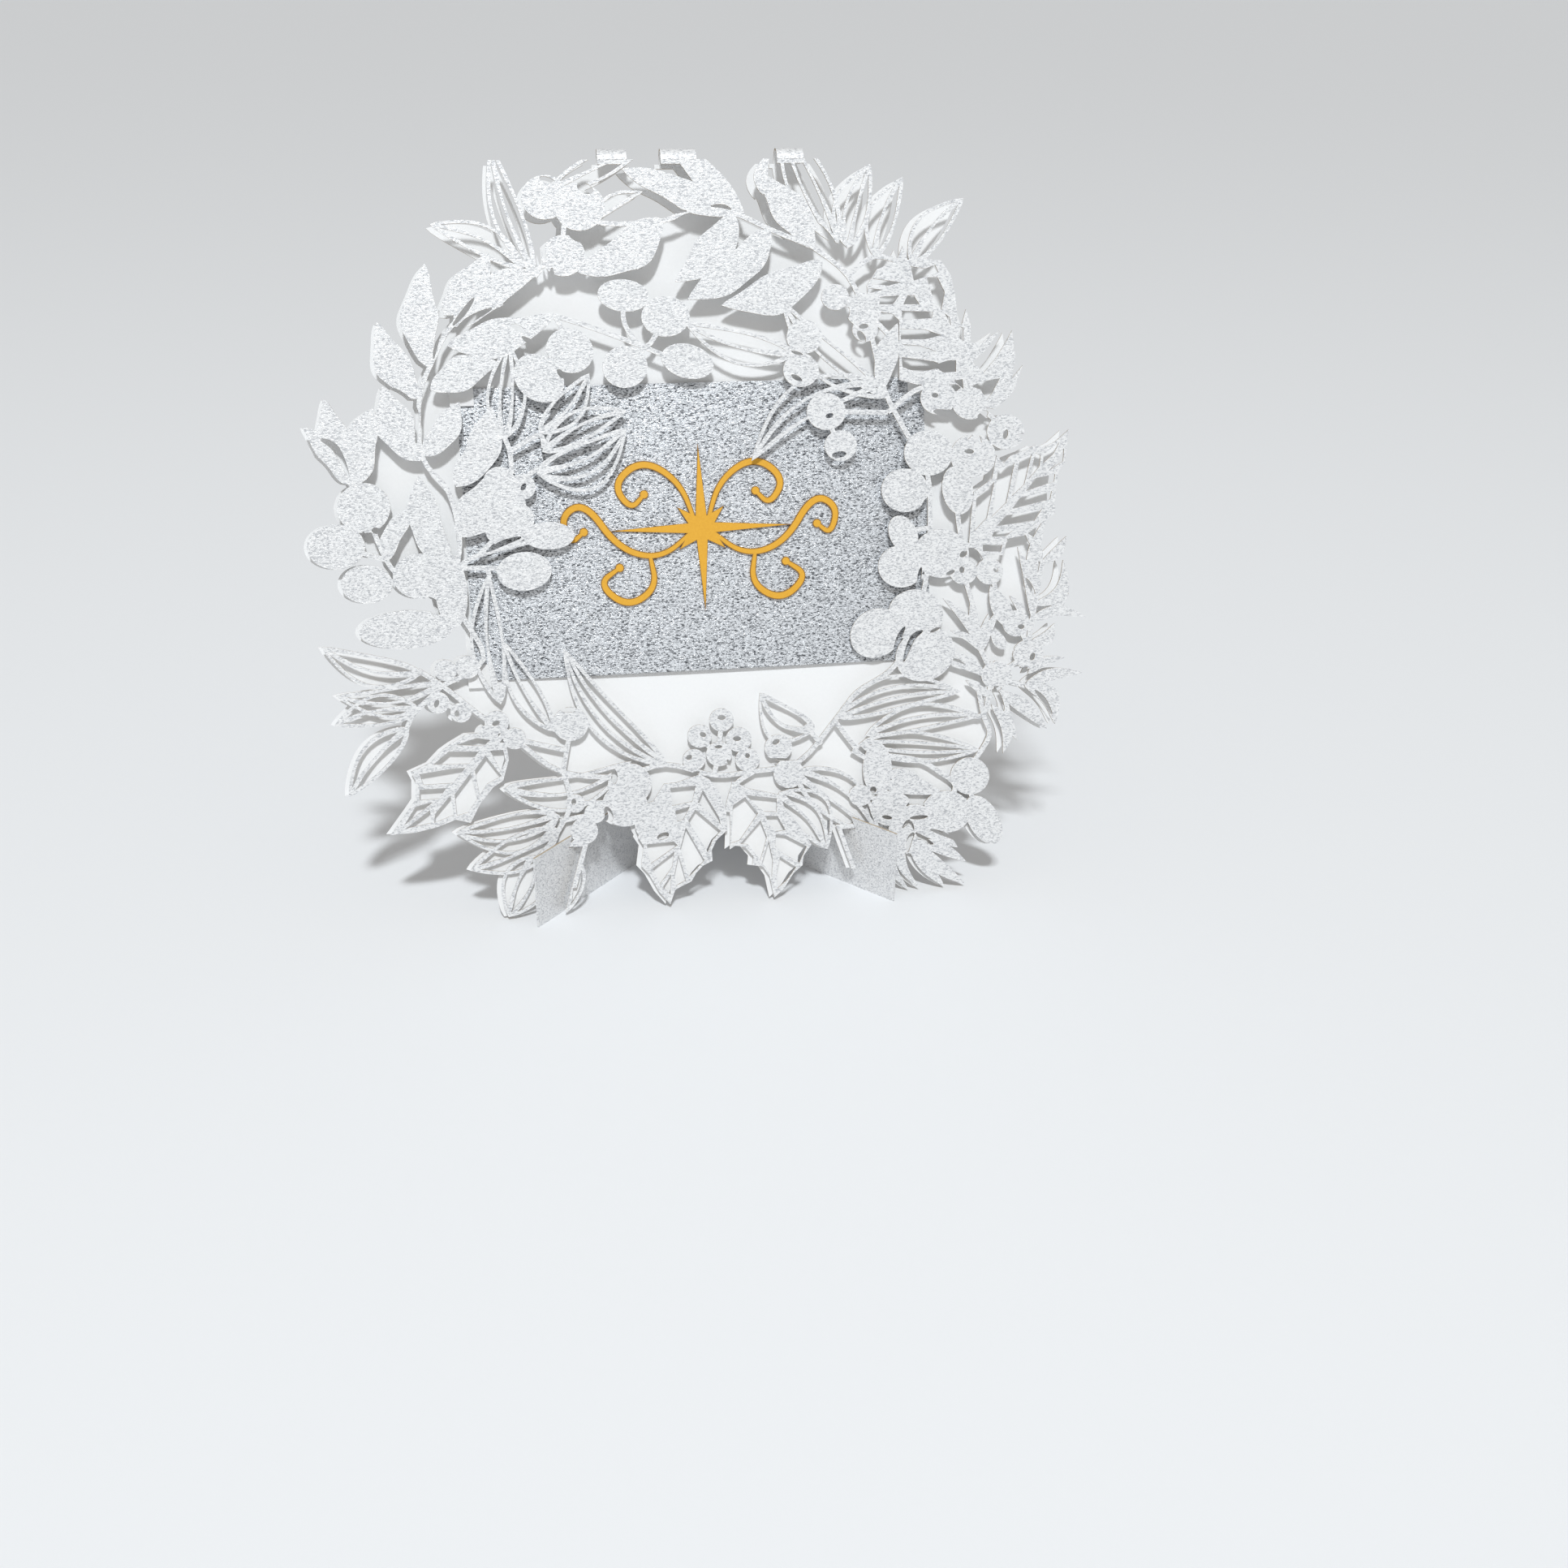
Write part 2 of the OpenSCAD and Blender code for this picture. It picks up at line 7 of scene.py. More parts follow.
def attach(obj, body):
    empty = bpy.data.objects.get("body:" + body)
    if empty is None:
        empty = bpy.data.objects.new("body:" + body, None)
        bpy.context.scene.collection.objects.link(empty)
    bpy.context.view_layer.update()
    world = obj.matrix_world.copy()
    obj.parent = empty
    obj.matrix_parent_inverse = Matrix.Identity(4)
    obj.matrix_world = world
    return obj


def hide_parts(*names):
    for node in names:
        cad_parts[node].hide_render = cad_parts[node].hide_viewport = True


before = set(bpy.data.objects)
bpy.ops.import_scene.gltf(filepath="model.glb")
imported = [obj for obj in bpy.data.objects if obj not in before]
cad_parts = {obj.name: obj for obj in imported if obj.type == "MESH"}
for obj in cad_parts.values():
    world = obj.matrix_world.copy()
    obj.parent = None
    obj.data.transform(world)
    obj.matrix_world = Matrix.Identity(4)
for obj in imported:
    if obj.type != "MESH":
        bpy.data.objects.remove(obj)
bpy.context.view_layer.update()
MM = 0.001

# Viewpoint
# The card is seen from a little above and left of its middle, as a card on a
# table is. The angles are read from the photograph.
view_eye = Vector((-33.7, -315.1, 174.6)) * MM
view_pitch = math.radians(27.5)
view_yaw = math.radians(9.5)
view_roll = math.radians(0.85)
photo_px = 1932
focal_px = 2040
sensor_w = 36
view_forward = Vector((
    math.sin(view_yaw) * math.cos(view_pitch),
    math.cos(view_yaw) * math.cos(view_pitch),
    -math.sin(view_pitch)))
view_level = Vector((math.cos(view_yaw), -math.sin(view_yaw), 0))
view_top = view_level.cross(view_forward)
view_right = view_level * math.cos(view_roll) + view_top * math.sin(view_roll)
view_up = view_top * math.cos(view_roll) - view_level * math.sin(view_roll)
viewpoint_data = bpy.data.cameras.new("viewpoint")
viewpoint_data.sensor_width = sensor_w
viewpoint_data.lens = sensor_w * focal_px / photo_px
viewpoint_data.clip_start = 0.01
viewpoint = bpy.data.objects.new("viewpoint", viewpoint_data)
bpy.context.collection.objects.link(viewpoint)
viewpoint.matrix_world = Matrix.Translation(view_eye) @ Matrix((
    view_right, view_up, -view_forward)).transposed().to_4x4()
bpy.context.scene.camera = viewpoint

# Folded sheet
# One sheet of pearl paper, cut by laser and folded once along the top. The front
# leaf is the lace wreath, the back leaf is the same outline left whole.
sheet_t = 0.35 * MM
lean = math.radians(20)
toe_gap = 0.5 * MM
fold_gap = 4 * MM
fold_up = 142.36 * MM
strip_back = 33.9 * MM
lace_lean = lean - math.atan((fold_gap - toe_gap) / fold_up)


def leaf_place(foot, lean_back):
    """Where a leaf's flat drawing stands: x to the right, y up the leaf, z to the front."""
    up = Vector((0, math.sin(lean_back), math.cos(lean_back)))
    out = Vector((0, -math.cos(lean_back), math.sin(lean_back)))
    return Matrix.Translation(foot) @ Matrix((Vector((1, 0, 0)), up, out)).transposed().to_4x4()


back_place = leaf_place(Vector((0, -strip_back, 0)), lean)
lace_foot = back_place @ Vector((0, 0, toe_gap))
lace_place = leaf_place(lace_foot, lace_lean)


def only(piece):
    """Selects one piece and makes it the active one."""
    bpy.ops.object.select_all(action="DESELECT")
    piece.select_set(True)
    bpy.context.view_layer.objects.active = piece


def on_lace(spot):
    """Where a point of the picture lies on the lace, in mm to the right and up the leaf."""
    ray = (view_forward + view_right * ((spot[0] - photo_px / 2) / focal_px)
           - view_up * ((spot[1] - photo_px / 2) / focal_px))
    start = lace_place.inverted() @ view_eye
    way = lace_place.inverted().to_3x3() @ ray
    return ((start + way * ((sheet_t - start.z) / way.z)) / MM).to_2d()


# The drawing of the lace, in pixels of the photograph. A leaf row is base x, base y,
# tip x, tip y, width and a share of sideways bow.
laurel_rows_px = (
    (526, 452, 523, 325, 44, 0.06), (545, 388, 602, 312, 46, -0.08), (558, 402, 668, 334, 44, 0.08),
    (551, 426, 684, 388, 44, -0.06), (516, 492, 464, 397, 40, 0.08), (530, 480, 614, 446, 40, 0.05),
    (518, 568, 471, 476, 46, 0.08), (523, 562, 566, 495, 34, -0.06), (562, 600, 606, 500, 44, -0.1),
    (551, 697, 515, 586, 42, 0.08), (566, 662, 603, 586, 52, -0.1), (474, 692, 511, 625, 26, 0.1),
    (818, 270, 712, 336, 50, 0.08), (896, 266, 766, 208, 36, -0.03), (918, 269, 800, 142, 32, 0),
    (905, 262, 832, 347, 48, 0.12), (950, 283, 847, 369, 44, 0.08), (1014, 322, 889, 376, 48, 0.1),
    (1003, 306, 932, 212, 40, -0.04), (434, 592, 399, 491, 38, 0.05), (430, 597, 373, 526, 30, -0.08),
    (438, 598, 459, 503, 46, 0.06), (1086, 480, 1106, 398, 28, 0.05))
# Ribbed leaves and long willow leaves end with their count of long cuts.
ribbed_rows_px = (
    (658, 336, 604, 179, 38, 0.05, 2), (646, 330, 529, 276, 38, -0.08, 2),
    (676, 234, 800, 176, 34, 0, 2), (728, 272, 792, 236, 20, 0.1, 1),
    (1033, 300, 962, 146, 54, 0.02, 3), (1044, 306, 1072, 202, 46, 0.08, 3),
    (1078, 318, 1112, 218, 38, 0.08, 2), (1122, 326, 1187, 244, 40, 0.08, 2),
    (621, 542, 627, 424, 50, 0, 3), (664, 534, 726, 460, 40, -0.08, 2),
    (668, 557, 772, 506, 40, 0.08, 2), (661, 584, 772, 528, 60, -0.16, 3),
    (520, 830, 396, 798, 40, 0.1, 2), (545, 843, 414, 858, 38, 0.12, 2),
    (518, 874, 412, 894, 40, -0.08, 2), (504, 896, 430, 982, 40, -0.06, 2),
    (690, 1005, 562, 1026, 50, 0.1, 3), (690, 1022, 580, 1072, 46, 0.05, 2),
    (660, 1054, 627, 1130, 56, 0.02, 3), (696, 1044, 698, 1125, 50, 0, 3),
    (960, 976, 1020, 1046, 54, 0.14, 3), (980, 950, 1084, 1030, 58, 0.06, 3),
    (1030, 884, 1184, 852, 44, 0.1, 3), (1066, 906, 1209, 882, 34, 0.08, 2),
    (1058, 917, 1207, 924, 40, 0, 3))
willow_rows_px = (
    (1096, 490, 963, 371, 44, 0.1, 2), (982, 436, 843, 397, 42, 0.08, 2),
    (1086, 470, 926, 568, 46, -0.16, 2), (617, 868, 602, 706, 42, 0.06, 2),
    (684, 902, 620, 790, 36, 0.06, 2), (822, 944, 694, 799, 44, 0.1, 3),
    (620, 972, 778, 938, 44, -0.14, 2), (1004, 900, 936, 854, 48, 0.2, 2))
# A needle is a narrow leaf without cuts.
needle_rows_px = (
    (1272, 762, 1254, 674, 13, -0.06), (1276, 740, 1290, 636, 15, 0.1),
    (1284, 694, 1314, 661, 13, -0.1), (1270, 746, 1310, 690, 18, -0.3),
    (1268, 763, 1317, 731, 13, -0.12), (1267, 765, 1338, 760, 13, 0.14),
    (1262, 764, 1244, 734, 10, -0.1), (1246, 774, 1220, 722, 24, 0), (1284, 695, 1262, 655, 11, -0.08),
    (1210, 800, 1162, 737, 13, -0.08), (1214, 806, 1171, 777, 10, -0.1),
    (1216, 836, 1172, 803, 11, -0.06), (1208, 796, 1198, 733, 10, 0.06), (1206, 798, 1218, 756, 9, 0),
    (1212, 800, 1232, 750, 10, 0.06), (1270, 792, 1300, 768, 16, -0.2), (1266, 830, 1312, 810, 11, 0.1),
    (1262, 844, 1334, 829, 15, 0.08), (1262, 842, 1300, 892, 24, 0.24),
    (1232, 853, 1290, 898, 18, 0.06), (1240, 868, 1253, 912, 11, -0.06),
    (1222, 868, 1236, 928, 16, 0.2), (1224, 860, 1190, 838, 10, 0), (1238, 800, 1222, 776, 16, 0),
    (1106, 1024, 1119, 1095, 14, -0.22), (1116, 1024, 1132, 1093, 13, -0.2),
    (1120, 1036, 1163, 1091, 16, -0.04), (1122, 1034, 1188, 1088, 18, -0.05),
    (1128, 1036, 1190, 1061, 15, 0.05), (1108, 1006, 1180, 1044, 22, 0.05),
    (1104, 1004, 1122, 1052, 34, 0), (940, 240, 947, 190, 17, 0.12), (1086, 956, 1137, 962, 15, 0.1),
    (1088, 968, 1160, 977, 22, 0.06))
# A round row is centre x, centre y, half length, half width and turn in degrees.
round_rows_px = (
    (768, 364, 32, 20, 6), (820, 390, 30, 25, 0), (770, 452, 28, 26, 0), (847, 445, 33, 21, 15),
    (702, 432, 30, 27, 30), (664, 466, 34, 27, 40), (1144, 558, 30, 28, 0), (1115, 604, 29, 27, 0),
    (1180, 604, 30, 19, 80), (1113, 658, 24, 17, 65), (1110, 698, 28, 26, 0), (1160, 682, 34, 30, 0),
    (1128, 758, 34, 32, 0), (1080, 780, 34, 29, -35), (1140, 806, 38, 32, -30), (448, 626, 33, 31, 0),
    (414, 674, 36, 28, 0), (452, 720, 32, 24, 0), (518, 710, 34, 28, 0), (500, 776, 58, 24, -4),
    (556, 728, 46, 20, 85), (628, 646, 32, 25, -30), (676, 660, 32, 17, 0), (646, 704, 34, 24, -5),
    (1195, 956, 24, 23, 0), (1212, 1010, 33, 19, 60), (1098, 996, 26, 22, 0), (1081, 947, 18, 32, 0),
    (1130, 1006, 32, 15, 0), (1166, 1000, 30, 26, 0))
# A berry row is centre x, centre y and radius. Some have a small eye, an oval
# hole given like a round row.
berry_rows_px = (
    (671, 243, 29), (714, 255, 31), (694, 315, 27), (1029, 366, 17), (1064, 382, 22), (1066, 406, 16),
    (991, 415, 22), (987, 456, 22), (1018, 507, 24), (1036, 549, 20), (1156, 490, 22), (1195, 496, 22),
    (1239, 532, 23), (1199, 562, 28), (1187, 704, 17), (1219, 704, 17), (1252, 768, 17),
    (1267, 806, 19), (1228, 832, 19), (889, 887, 15), (862, 907, 15), (910, 911, 16), (886, 929, 16),
    (855, 936, 14), (921, 936, 15), (959, 921, 17), (972, 953, 19), (709, 990, 12), (733, 1002, 13),
    (720, 1024, 17), (776, 966, 27), (770, 992, 28), (811, 1014, 29), (549, 826, 14), (576, 822, 15),
    (540, 866, 14), (568, 878, 13), (612, 890, 15), (634, 910, 14), (602, 904, 12), (703, 892, 22),
    (615, 594, 20), (643, 600, 17), (628, 622, 20), (1060, 980, 14))
eye_rows_px = (
    (674, 222, 10, 4, 18), (721, 232, 11, 6, 24), (1194, 556, 6, 3, 8), (1239, 535, 3, 6, 15),
    (1185, 702, 3, 4, 0), (1227, 702, 3, 3, 0), (1258, 772, 4, 3, 0), (1272, 809, 3, 5, 20),
    (1223, 813, 3, 3, 0), (1228, 848, 6, 3, 0), (956, 914, 5, 3, -30), (889, 884, 5, 3, 0),
    (866, 905, 4, 3, 20), (908, 910, 5, 3, 0), (885, 920, 5, 2, 0), (849, 933, 4, 3, -30),
    (921, 931, 3, 3, 0), (707, 988, 3, 4, 0), (611, 891, 5, 3, -20), (700, 875, 9, 3, 0),
    (538, 867, 3, 5, 20), (563, 879, 3, 4, 0), (1076, 973, 4, 4, 0), (1152, 487, 4, 3, 0),
    (1043, 386, 4, 8, 12), (1064, 402, 6, 3, -8), (645, 600, 3, 5, 30), (817, 1030, 8, 4, -20),
    (1034, 560, 9, 4, -8), (750, 1003, 5, 10, -20), (757, 957, 4, 9, 0), (1022, 512, 5, 3, -20))
# Stems are smooth lines through a few points.
vine_rows_px = (
    ((1000, 303), (1045, 340), (1070, 400), (1090, 480), (1115, 530), (1142, 580), (1146, 650),
     (1140, 720), (1120, 790), (1104, 818), (1088, 833), (1056, 853), (1033, 882), (985, 938),
     (930, 950), (880, 955), (820, 942), (760, 957), (690, 950), (640, 915), (590, 880), (545, 845),
     (515, 826)),
    ((545, 845), (596, 812), (566, 750), (564, 700), (566, 660), (552, 605), (520, 562), (517, 490),
     (535, 440), (556, 402), (600, 365), (660, 332), (690, 313), (700, 258), (742, 275), (816, 272),
     (853, 258), (902, 262), (950, 283), (1002, 304)), ((680, 388), (725, 402), (795, 428), (838, 447)),
    ((768, 367), (770, 400), (795, 428), (819, 392)), ((771, 453), (795, 428)),
    ((666, 466), (701, 431), (684, 390)), ((430, 592), (448, 624), (476, 690), (500, 715), (550, 742)),
    ((417, 673), (476, 690)), ((452, 719), (500, 715)), ((631, 584), (628, 556), (621, 538)),
    ((628, 556), (664, 536), (670, 552)), ((641, 598), (652, 585), (664, 576)),
    ((564, 700), (590, 684), (676, 662)), ((564, 700), (600, 700), (646, 703)),
    ((590, 684), (625, 645), (628, 622)), ((604, 712), (600, 700)),
    ((1094, 508), (1140, 476), (1195, 494), (1240, 530)), ((1140, 476), (1116, 430)),
    ((1064, 380), (1112, 430)), ((1240, 530), (1201, 565), (1179, 606), (1186, 676)),
    ((1094, 508), (1016, 507)), ((1016, 507), (1034, 549)),
    ((1160, 680), (1200, 672), (1220, 702), (1232, 745), (1250, 765)),
    ((1250, 765), (1266, 804), (1225, 835), (1212, 880), (1186, 878)), ((1144, 806), (1225, 835)),
    ((1030, 890), (1056, 924)), ((1206, 852), (1212, 882), (1219, 906), (1200, 938)),
    ((1206, 796), (1225, 835)), ((1050, 924), (1085, 950), (1096, 1000), (1130, 1036)),
    ((1084, 930), (1130, 936), (1156, 950), (1177, 968), (1166, 992)), ((1195, 972), (1199, 988)),
    ((694, 950), (703, 990), (690, 1020), (676, 1042), (660, 1060)),
    ((690, 1012), (729, 1007), (702, 1046)), ((703, 990), (771, 991), (812, 1014)),
    ((703, 896), (694, 950)), ((962, 920), (968, 956), (990, 954)),
    ((930, 950), (905, 968), (896, 1000)), ((1119, 326), (1078, 316), (1045, 340)),
    ((615, 892), (636, 914)), ((1109, 702), (1142, 712)), ((1115, 655), (1148, 650)),
    ((1029, 364), (1062, 372)), ((889, 889), (885, 927), (880, 955)),
    ((862, 908), (885, 927), (908, 910)), ((545, 845), (510, 880), (500, 903)),
    ((540, 864), (569, 876)), ((1265, 805), (1272, 762), (1284, 694)),
    ((1186, 704), (1200, 750), (1210, 798)), ((1262, 844), (1225, 835)),
    ((1242, 880), (1238, 860), (1225, 835)), ((1198, 668), (1248, 620), (1276, 580), (1302, 550)),
    ((640, 912), (700, 925)), ((760, 957), (776, 966)), ((620, 905), (598, 930)),
    ((1060, 980), (1086, 985)), ((992, 893), (1012, 917)))
# Four holly leaves and one tuft of short needles are drawn by their outlines,
# each with the cells between its veins.
holly_lines_px = (
    ((1317, 529), (1300, 544), (1284, 552), (1276, 548), (1262, 555), (1244, 562), (1236, 571),
     (1228, 561), (1222, 590), (1200, 606), (1196, 640), (1194, 668), (1208, 682), (1236, 684),
     (1241, 664), (1264, 659), (1276, 650), (1300, 632), (1301, 602), (1304, 580), (1312, 570),
     (1314, 552)),
    ((862, 954), (834, 964), (818, 966), (806, 988), (796, 1010), (786, 1040), (793, 1052), (790, 1080),
     (800, 1092), (812, 1116), (826, 1134), (832, 1114), (841, 1108), (852, 1102), (858, 1090),
     (866, 1080), (878, 1073), (877, 1058), (883, 1044), (896, 1030), (895, 1004), (888, 980),
     (874, 960)),
    ((902, 962), (899, 985), (899, 1010), (900, 1034), (899, 1066), (906, 1060), (918, 1062),
     (928, 1076), (927, 1090), (940, 1092), (948, 1106), (954, 1140), (966, 1126), (978, 1102),
     (989, 1090), (990, 1076), (1000, 1058), (986, 1030), (964, 1000), (962, 982), (940, 976),
     (922, 972)),
    ((614, 914), (596, 903), (576, 904), (556, 916), (545, 924), (530, 940), (506, 951), (512, 962),
     (512, 985), (504, 997), (481, 1029), (512, 1026), (540, 1019), (562, 1010), (580, 1014),
     (592, 990), (608, 970), (620, 962), (627, 936), (624, 916)),
    ((1068, 352), (1080, 332), (1104, 322), (1112, 303), (1118, 320), (1140, 319), (1160, 321),
     (1172, 340), (1178, 370), (1180, 398), (1185, 400), (1190, 381), (1196, 400), (1196, 422),
     (1206, 424), (1233, 406), (1214, 432), (1198, 446), (1212, 459), (1228, 440), (1240, 420),
     (1247, 407), (1251, 440), (1247, 466), (1260, 450), (1250, 480), (1240, 492), (1225, 504),
     (1205, 500), (1180, 474), (1160, 472), (1130, 474), (1108, 468), (1108, 420), (1108, 395),
     (1100, 387), (1085, 384), (1070, 372)))
cell_lines_px = (
    ((1203, 614), (1225, 594), (1216, 638), (1201, 654)),
    ((1230, 578), (1250, 570), (1240, 619), (1222, 637)),
    ((1257, 565), (1271, 560), (1262, 597), (1247, 611)),
    ((1276, 558), (1282, 561), (1281, 574), (1268, 590)),
    ((1286, 560), (1305, 545), (1298, 559), (1285, 571)),
    ((1303, 568), (1311, 552), (1310, 568), (1292, 580)),
    ((1276, 589), (1300, 584), (1299, 593), (1264, 605)),
    ((1257, 613), (1296, 605), (1294, 615), (1247, 627)),
    ((1240, 635), (1284, 627), (1274, 642), (1228, 648)),
    ((1225, 655), (1248, 654), (1238, 661), (1222, 661)),
    ((1211, 671), (1235, 671), (1233, 680), (1211, 679)),
    ((826, 971), (857, 968), (853, 990), (828, 996)),
    ((832, 1003), (850, 997), (842, 1015), (834, 1018)),
    ((797, 1050), (830, 1046), (835, 1051), (802, 1077), (798, 1064)),
    ((804, 1084), (831, 1060), (828, 1082), (813, 1106)), ((817, 1110), (827, 1092), (826, 1120)),
    ((866, 974), (886, 1012), (888, 1022), (860, 991)),
    ((857, 1001), (888, 1031), (878, 1044), (872, 1061), (848, 1017)),
    ((845, 1026), (868, 1072), (857, 1086), (849, 1095), (838, 1056)),
    ((836, 1064), (845, 1100), (833, 1108), (831, 1092)),
    ((919, 982), (957, 987), (957, 1008), (941, 1007), (930, 996)),
    ((903, 998), (918, 985), (934, 1010), (911, 1052), (901, 1056)),
    ((912, 1057), (937, 1021), (945, 1046), (937, 1082), (932, 1075), (922, 1058)),
    ((939, 1086), (947, 1052), (952, 1080), (951, 1108), (944, 1094)),
    ((943, 1014), (958, 1014), (968, 1036), (956, 1038), (948, 1028)),
    ((956, 1042), (968, 1044), (994, 1061), (985, 1086), (964, 1071), (955, 1060)),
    ((957, 1102), (961, 1077), (981, 1093), (970, 1112), (958, 1126)),
    ((588, 909), (604, 912), (596, 919), (562, 918)), ((553, 926), (590, 926), (578, 941), (534, 942)),
    ((517, 954), (575, 944), (558, 965), (522, 967)), ((517, 973), (550, 971), (541, 984), (517, 986)),
    ((512, 994), (534, 988), (498, 1017)), ((585, 949), (598, 931), (618, 956), (600, 966), (591, 980)),
    ((560, 979), (580, 952), (588, 984), (577, 1001), (563, 1005)),
    ((536, 1003), (555, 980), (559, 1004), (535, 1014)),
    ((604, 925), (620, 924), (623, 938), (617, 950)), ((500, 1021), (530, 998), (531, 1014)),
    ((1075, 343), (1110, 348), (1095, 352), (1074, 350)), ((1070, 355), (1088, 357), (1072, 361)),
    ((1084, 366), (1108, 364), (1100, 375), (1084, 375)),
    ((1113, 375), (1118, 364), (1126, 364), (1133, 375)),
    ((1111, 383), (1150, 384), (1148, 392), (1112, 394)),
    ((1110, 405), (1140, 406), (1160, 413), (1140, 418), (1110, 418)),
    ((1112, 424), (1134, 426), (1154, 433), (1126, 433)),
    ((1111, 440), (1150, 445), (1166, 452), (1130, 459), (1112, 452)),
    ((1150, 450), (1168, 444), (1178, 444), (1178, 458), (1162, 459)),
    ((1142, 342), (1155, 341), (1164, 360), (1160, 382), (1152, 375)),
    ((1122, 328), (1140, 331), (1152, 326), (1156, 335), (1140, 341), (1126, 346)),
    ((1164, 386), (1170, 391), (1172, 402)), ((1182, 402), (1187, 404), (1187, 420), (1182, 417)),
    ((1197, 476), (1210, 470), (1232, 466), (1222, 485), (1216, 493), (1208, 480)),
    ((1175, 469), (1186, 467), (1187, 479)))
# Slits and small windows that part the leaves, each a line and its width.
slit_rows_px = (
    (((484, 478), (502, 492), (513, 512), (513, 546)), 8), (((395, 541), (414, 553), (430, 588)), 9),
    (((447, 655), (462, 684)), 6), (((458, 653), (469, 655)), 8),
    (((443, 697), (456, 690), (471, 700)), 6), (((507, 738), (517, 754)), 6),
    (((524, 738), (533, 742), (535, 760)), 9), (((599, 680), (620, 669), (642, 662)), 7),
    (((586, 692), (602, 688), (618, 690)), 6), (((558, 401), (572, 384), (584, 367)), 7),
    (((553, 420), (576, 396), (606, 380)), 9), (((534, 442), (540, 410), (546, 379)), 6),
    (((631, 400), (646, 409)), 8), (((643, 415), (660, 426), (676, 441)), 8),
    (((687, 455), (695, 466)), 7), (((674, 278), (690, 275)), 12),
    (((656, 268), (666, 290), (672, 322)), 6), (((680, 330), (678, 348), (664, 364)), 8),
    (((620, 375), (645, 358), (660, 342)), 8), (((876, 254), (890, 254), (901, 258)), 5),
    (((795, 246), (812, 260), (846, 260)), 7), (((702, 290), (716, 294), (736, 288)), 9),
    (((1002, 272), (1016, 286), (1030, 302)), 7), (((1057, 408), (1066, 421)), 8),
    (((975, 433), (989, 437)), 4), (((1000, 439), (1010, 445)), 4), (((975, 462), (988, 469)), 6),
    (((1150, 506), (1164, 509), (1175, 507)), 9), (((1205, 516), (1217, 507)), 9),
    (((1136, 628), (1142, 614)), 5), (((1150, 595), (1162, 588)), 9), (((1131, 720), (1135, 699)), 5),
    (((1113, 816), (1124, 787), (1137, 777)), 7), (((1102, 800), (1108, 785), (1115, 772)), 6),
    (((1146, 779), (1158, 773)), 4), (((1166, 708), (1176, 703)), 5), (((1183, 686), (1191, 679)), 7),
    (((1192, 541), (1200, 531), (1209, 545)), 6), (((1255, 535), (1265, 540), (1273, 547)), 7),
    (((1087, 1006), (1099, 1008)), 5), (((1121, 1008), (1143, 1006)), 5),
    (((1146, 1022), (1162, 1027), (1176, 1034)), 5), (((1117, 993), (1128, 986), (1139, 993)), 5),
    (((1112, 1020), (1120, 1012), (1126, 1022)), 5), (((1118, 1050), (1121, 1034), (1126, 1026)), 7),
    (((1128, 1026), (1142, 1036), (1150, 1040)), 5), (((852, 954), (862, 951)), 4),
    (((896, 936), (903, 946)), 5), (((946, 935), (978, 936)), 3), (((1264, 712), (1275, 732)), 5),
    (((1286, 712), (1298, 700)), 8), (((1275, 850), (1286, 862), (1296, 880)), 6),
    (((1283, 768), (1300, 766)), 6), (((1240, 806), (1244, 798), (1250, 802)), 5),
    (((1252, 828), (1266, 822)), 5), (((1216, 850), (1226, 858)), 4))
rim_px = 3.8
rib_px = 3.2
stem_px = 6
small_oval_px = 8
leaf_wave = 0.12
berry_flat_share = 0.95


def swell(share):
    """Share of a leaf's full width at a share of its length."""
    belly_power, tip_power = 0.85, 0.78
    return math.sin(math.pi * share ** belly_power) ** tip_power if 0 < share < 1 else 0


def leaf_spot(row, share, reach):
    """A point of the picture beside a leaf's midrib."""
    base, tip, bow_share = Vector(row[0:2]), Vector(row[2:4]), row[5]
    run = tip - base
    side = Vector((run.y, -run.x)).normalized()
    bow = run.length * bow_share * math.sin(math.pi * share)
    return base + run * share + side * (bow + reach)


def leaf_line(row, wave):
    """A leaf's outline, whose two sides may run in a gentle wave."""
    steps = 18
    upper_waves, lower_waves = 11, 9
    start = row[0] + row[3]
    upper, lower = [], []
    for i in range(steps + 1):
        share = i / steps
        half = swell(share) * row[4] / 2
        upper.append(leaf_spot(row, share, half * (1 + wave * math.sin(upper_waves * share + start))))
        lower.append(leaf_spot(row, share, -half * (1 + wave * math.cos(lower_waves * share + start))))
    return upper + lower[-2:0:-1]


def slit_lines(row, cuts):
    """The long cuts between the ribs of a leaf, the middle ones longest."""
    steps = 10
    first_share, first_step = 0.08, 0.04
    last_share, last_step = 0.93, 0.05
    least_px = 0.8
    lines = []
    for k in range(cuts):
        off = k - (cuts - 1) / 2
        first = first_share + first_step * abs(off)
        last = last_share - last_step * abs(off)
        upper, lower = [], []
        for i in range(steps + 1):
            share = first + (last - first) * i / steps
            open_px = max((swell(share) * row[4] - 2 * rim_px - (cuts - 1) * rib_px) / cuts, least_px)
            half = open_px / 2 * math.sin(math.pi * i / steps) ** 0.5 if 0 < i < steps else 0
            middle = off * (open_px + rib_px)
            upper.append(leaf_spot(row, share, middle + half))
            if half:
                lower.append(leaf_spot(row, share, middle - half))
        lines.append(upper + lower[::-1])
    return lines


def oval_line(row):
    """An oval's outline, with fewer points where it is small."""
    x, y, half_length, half_width, degrees = row
    steps = 28 if half_length > small_oval_px else 12
    turn = math.radians(degrees)
    line = []
    for i in range(steps):
        along = half_length * math.cos(2 * math.pi * i / steps)
        across = half_width * math.sin(2 * math.pi * i / steps)
        line.append(Vector((
            x + along * math.cos(turn) - across * math.sin(turn),
            y + along * math.sin(turn) + across * math.cos(turn))))
    return line


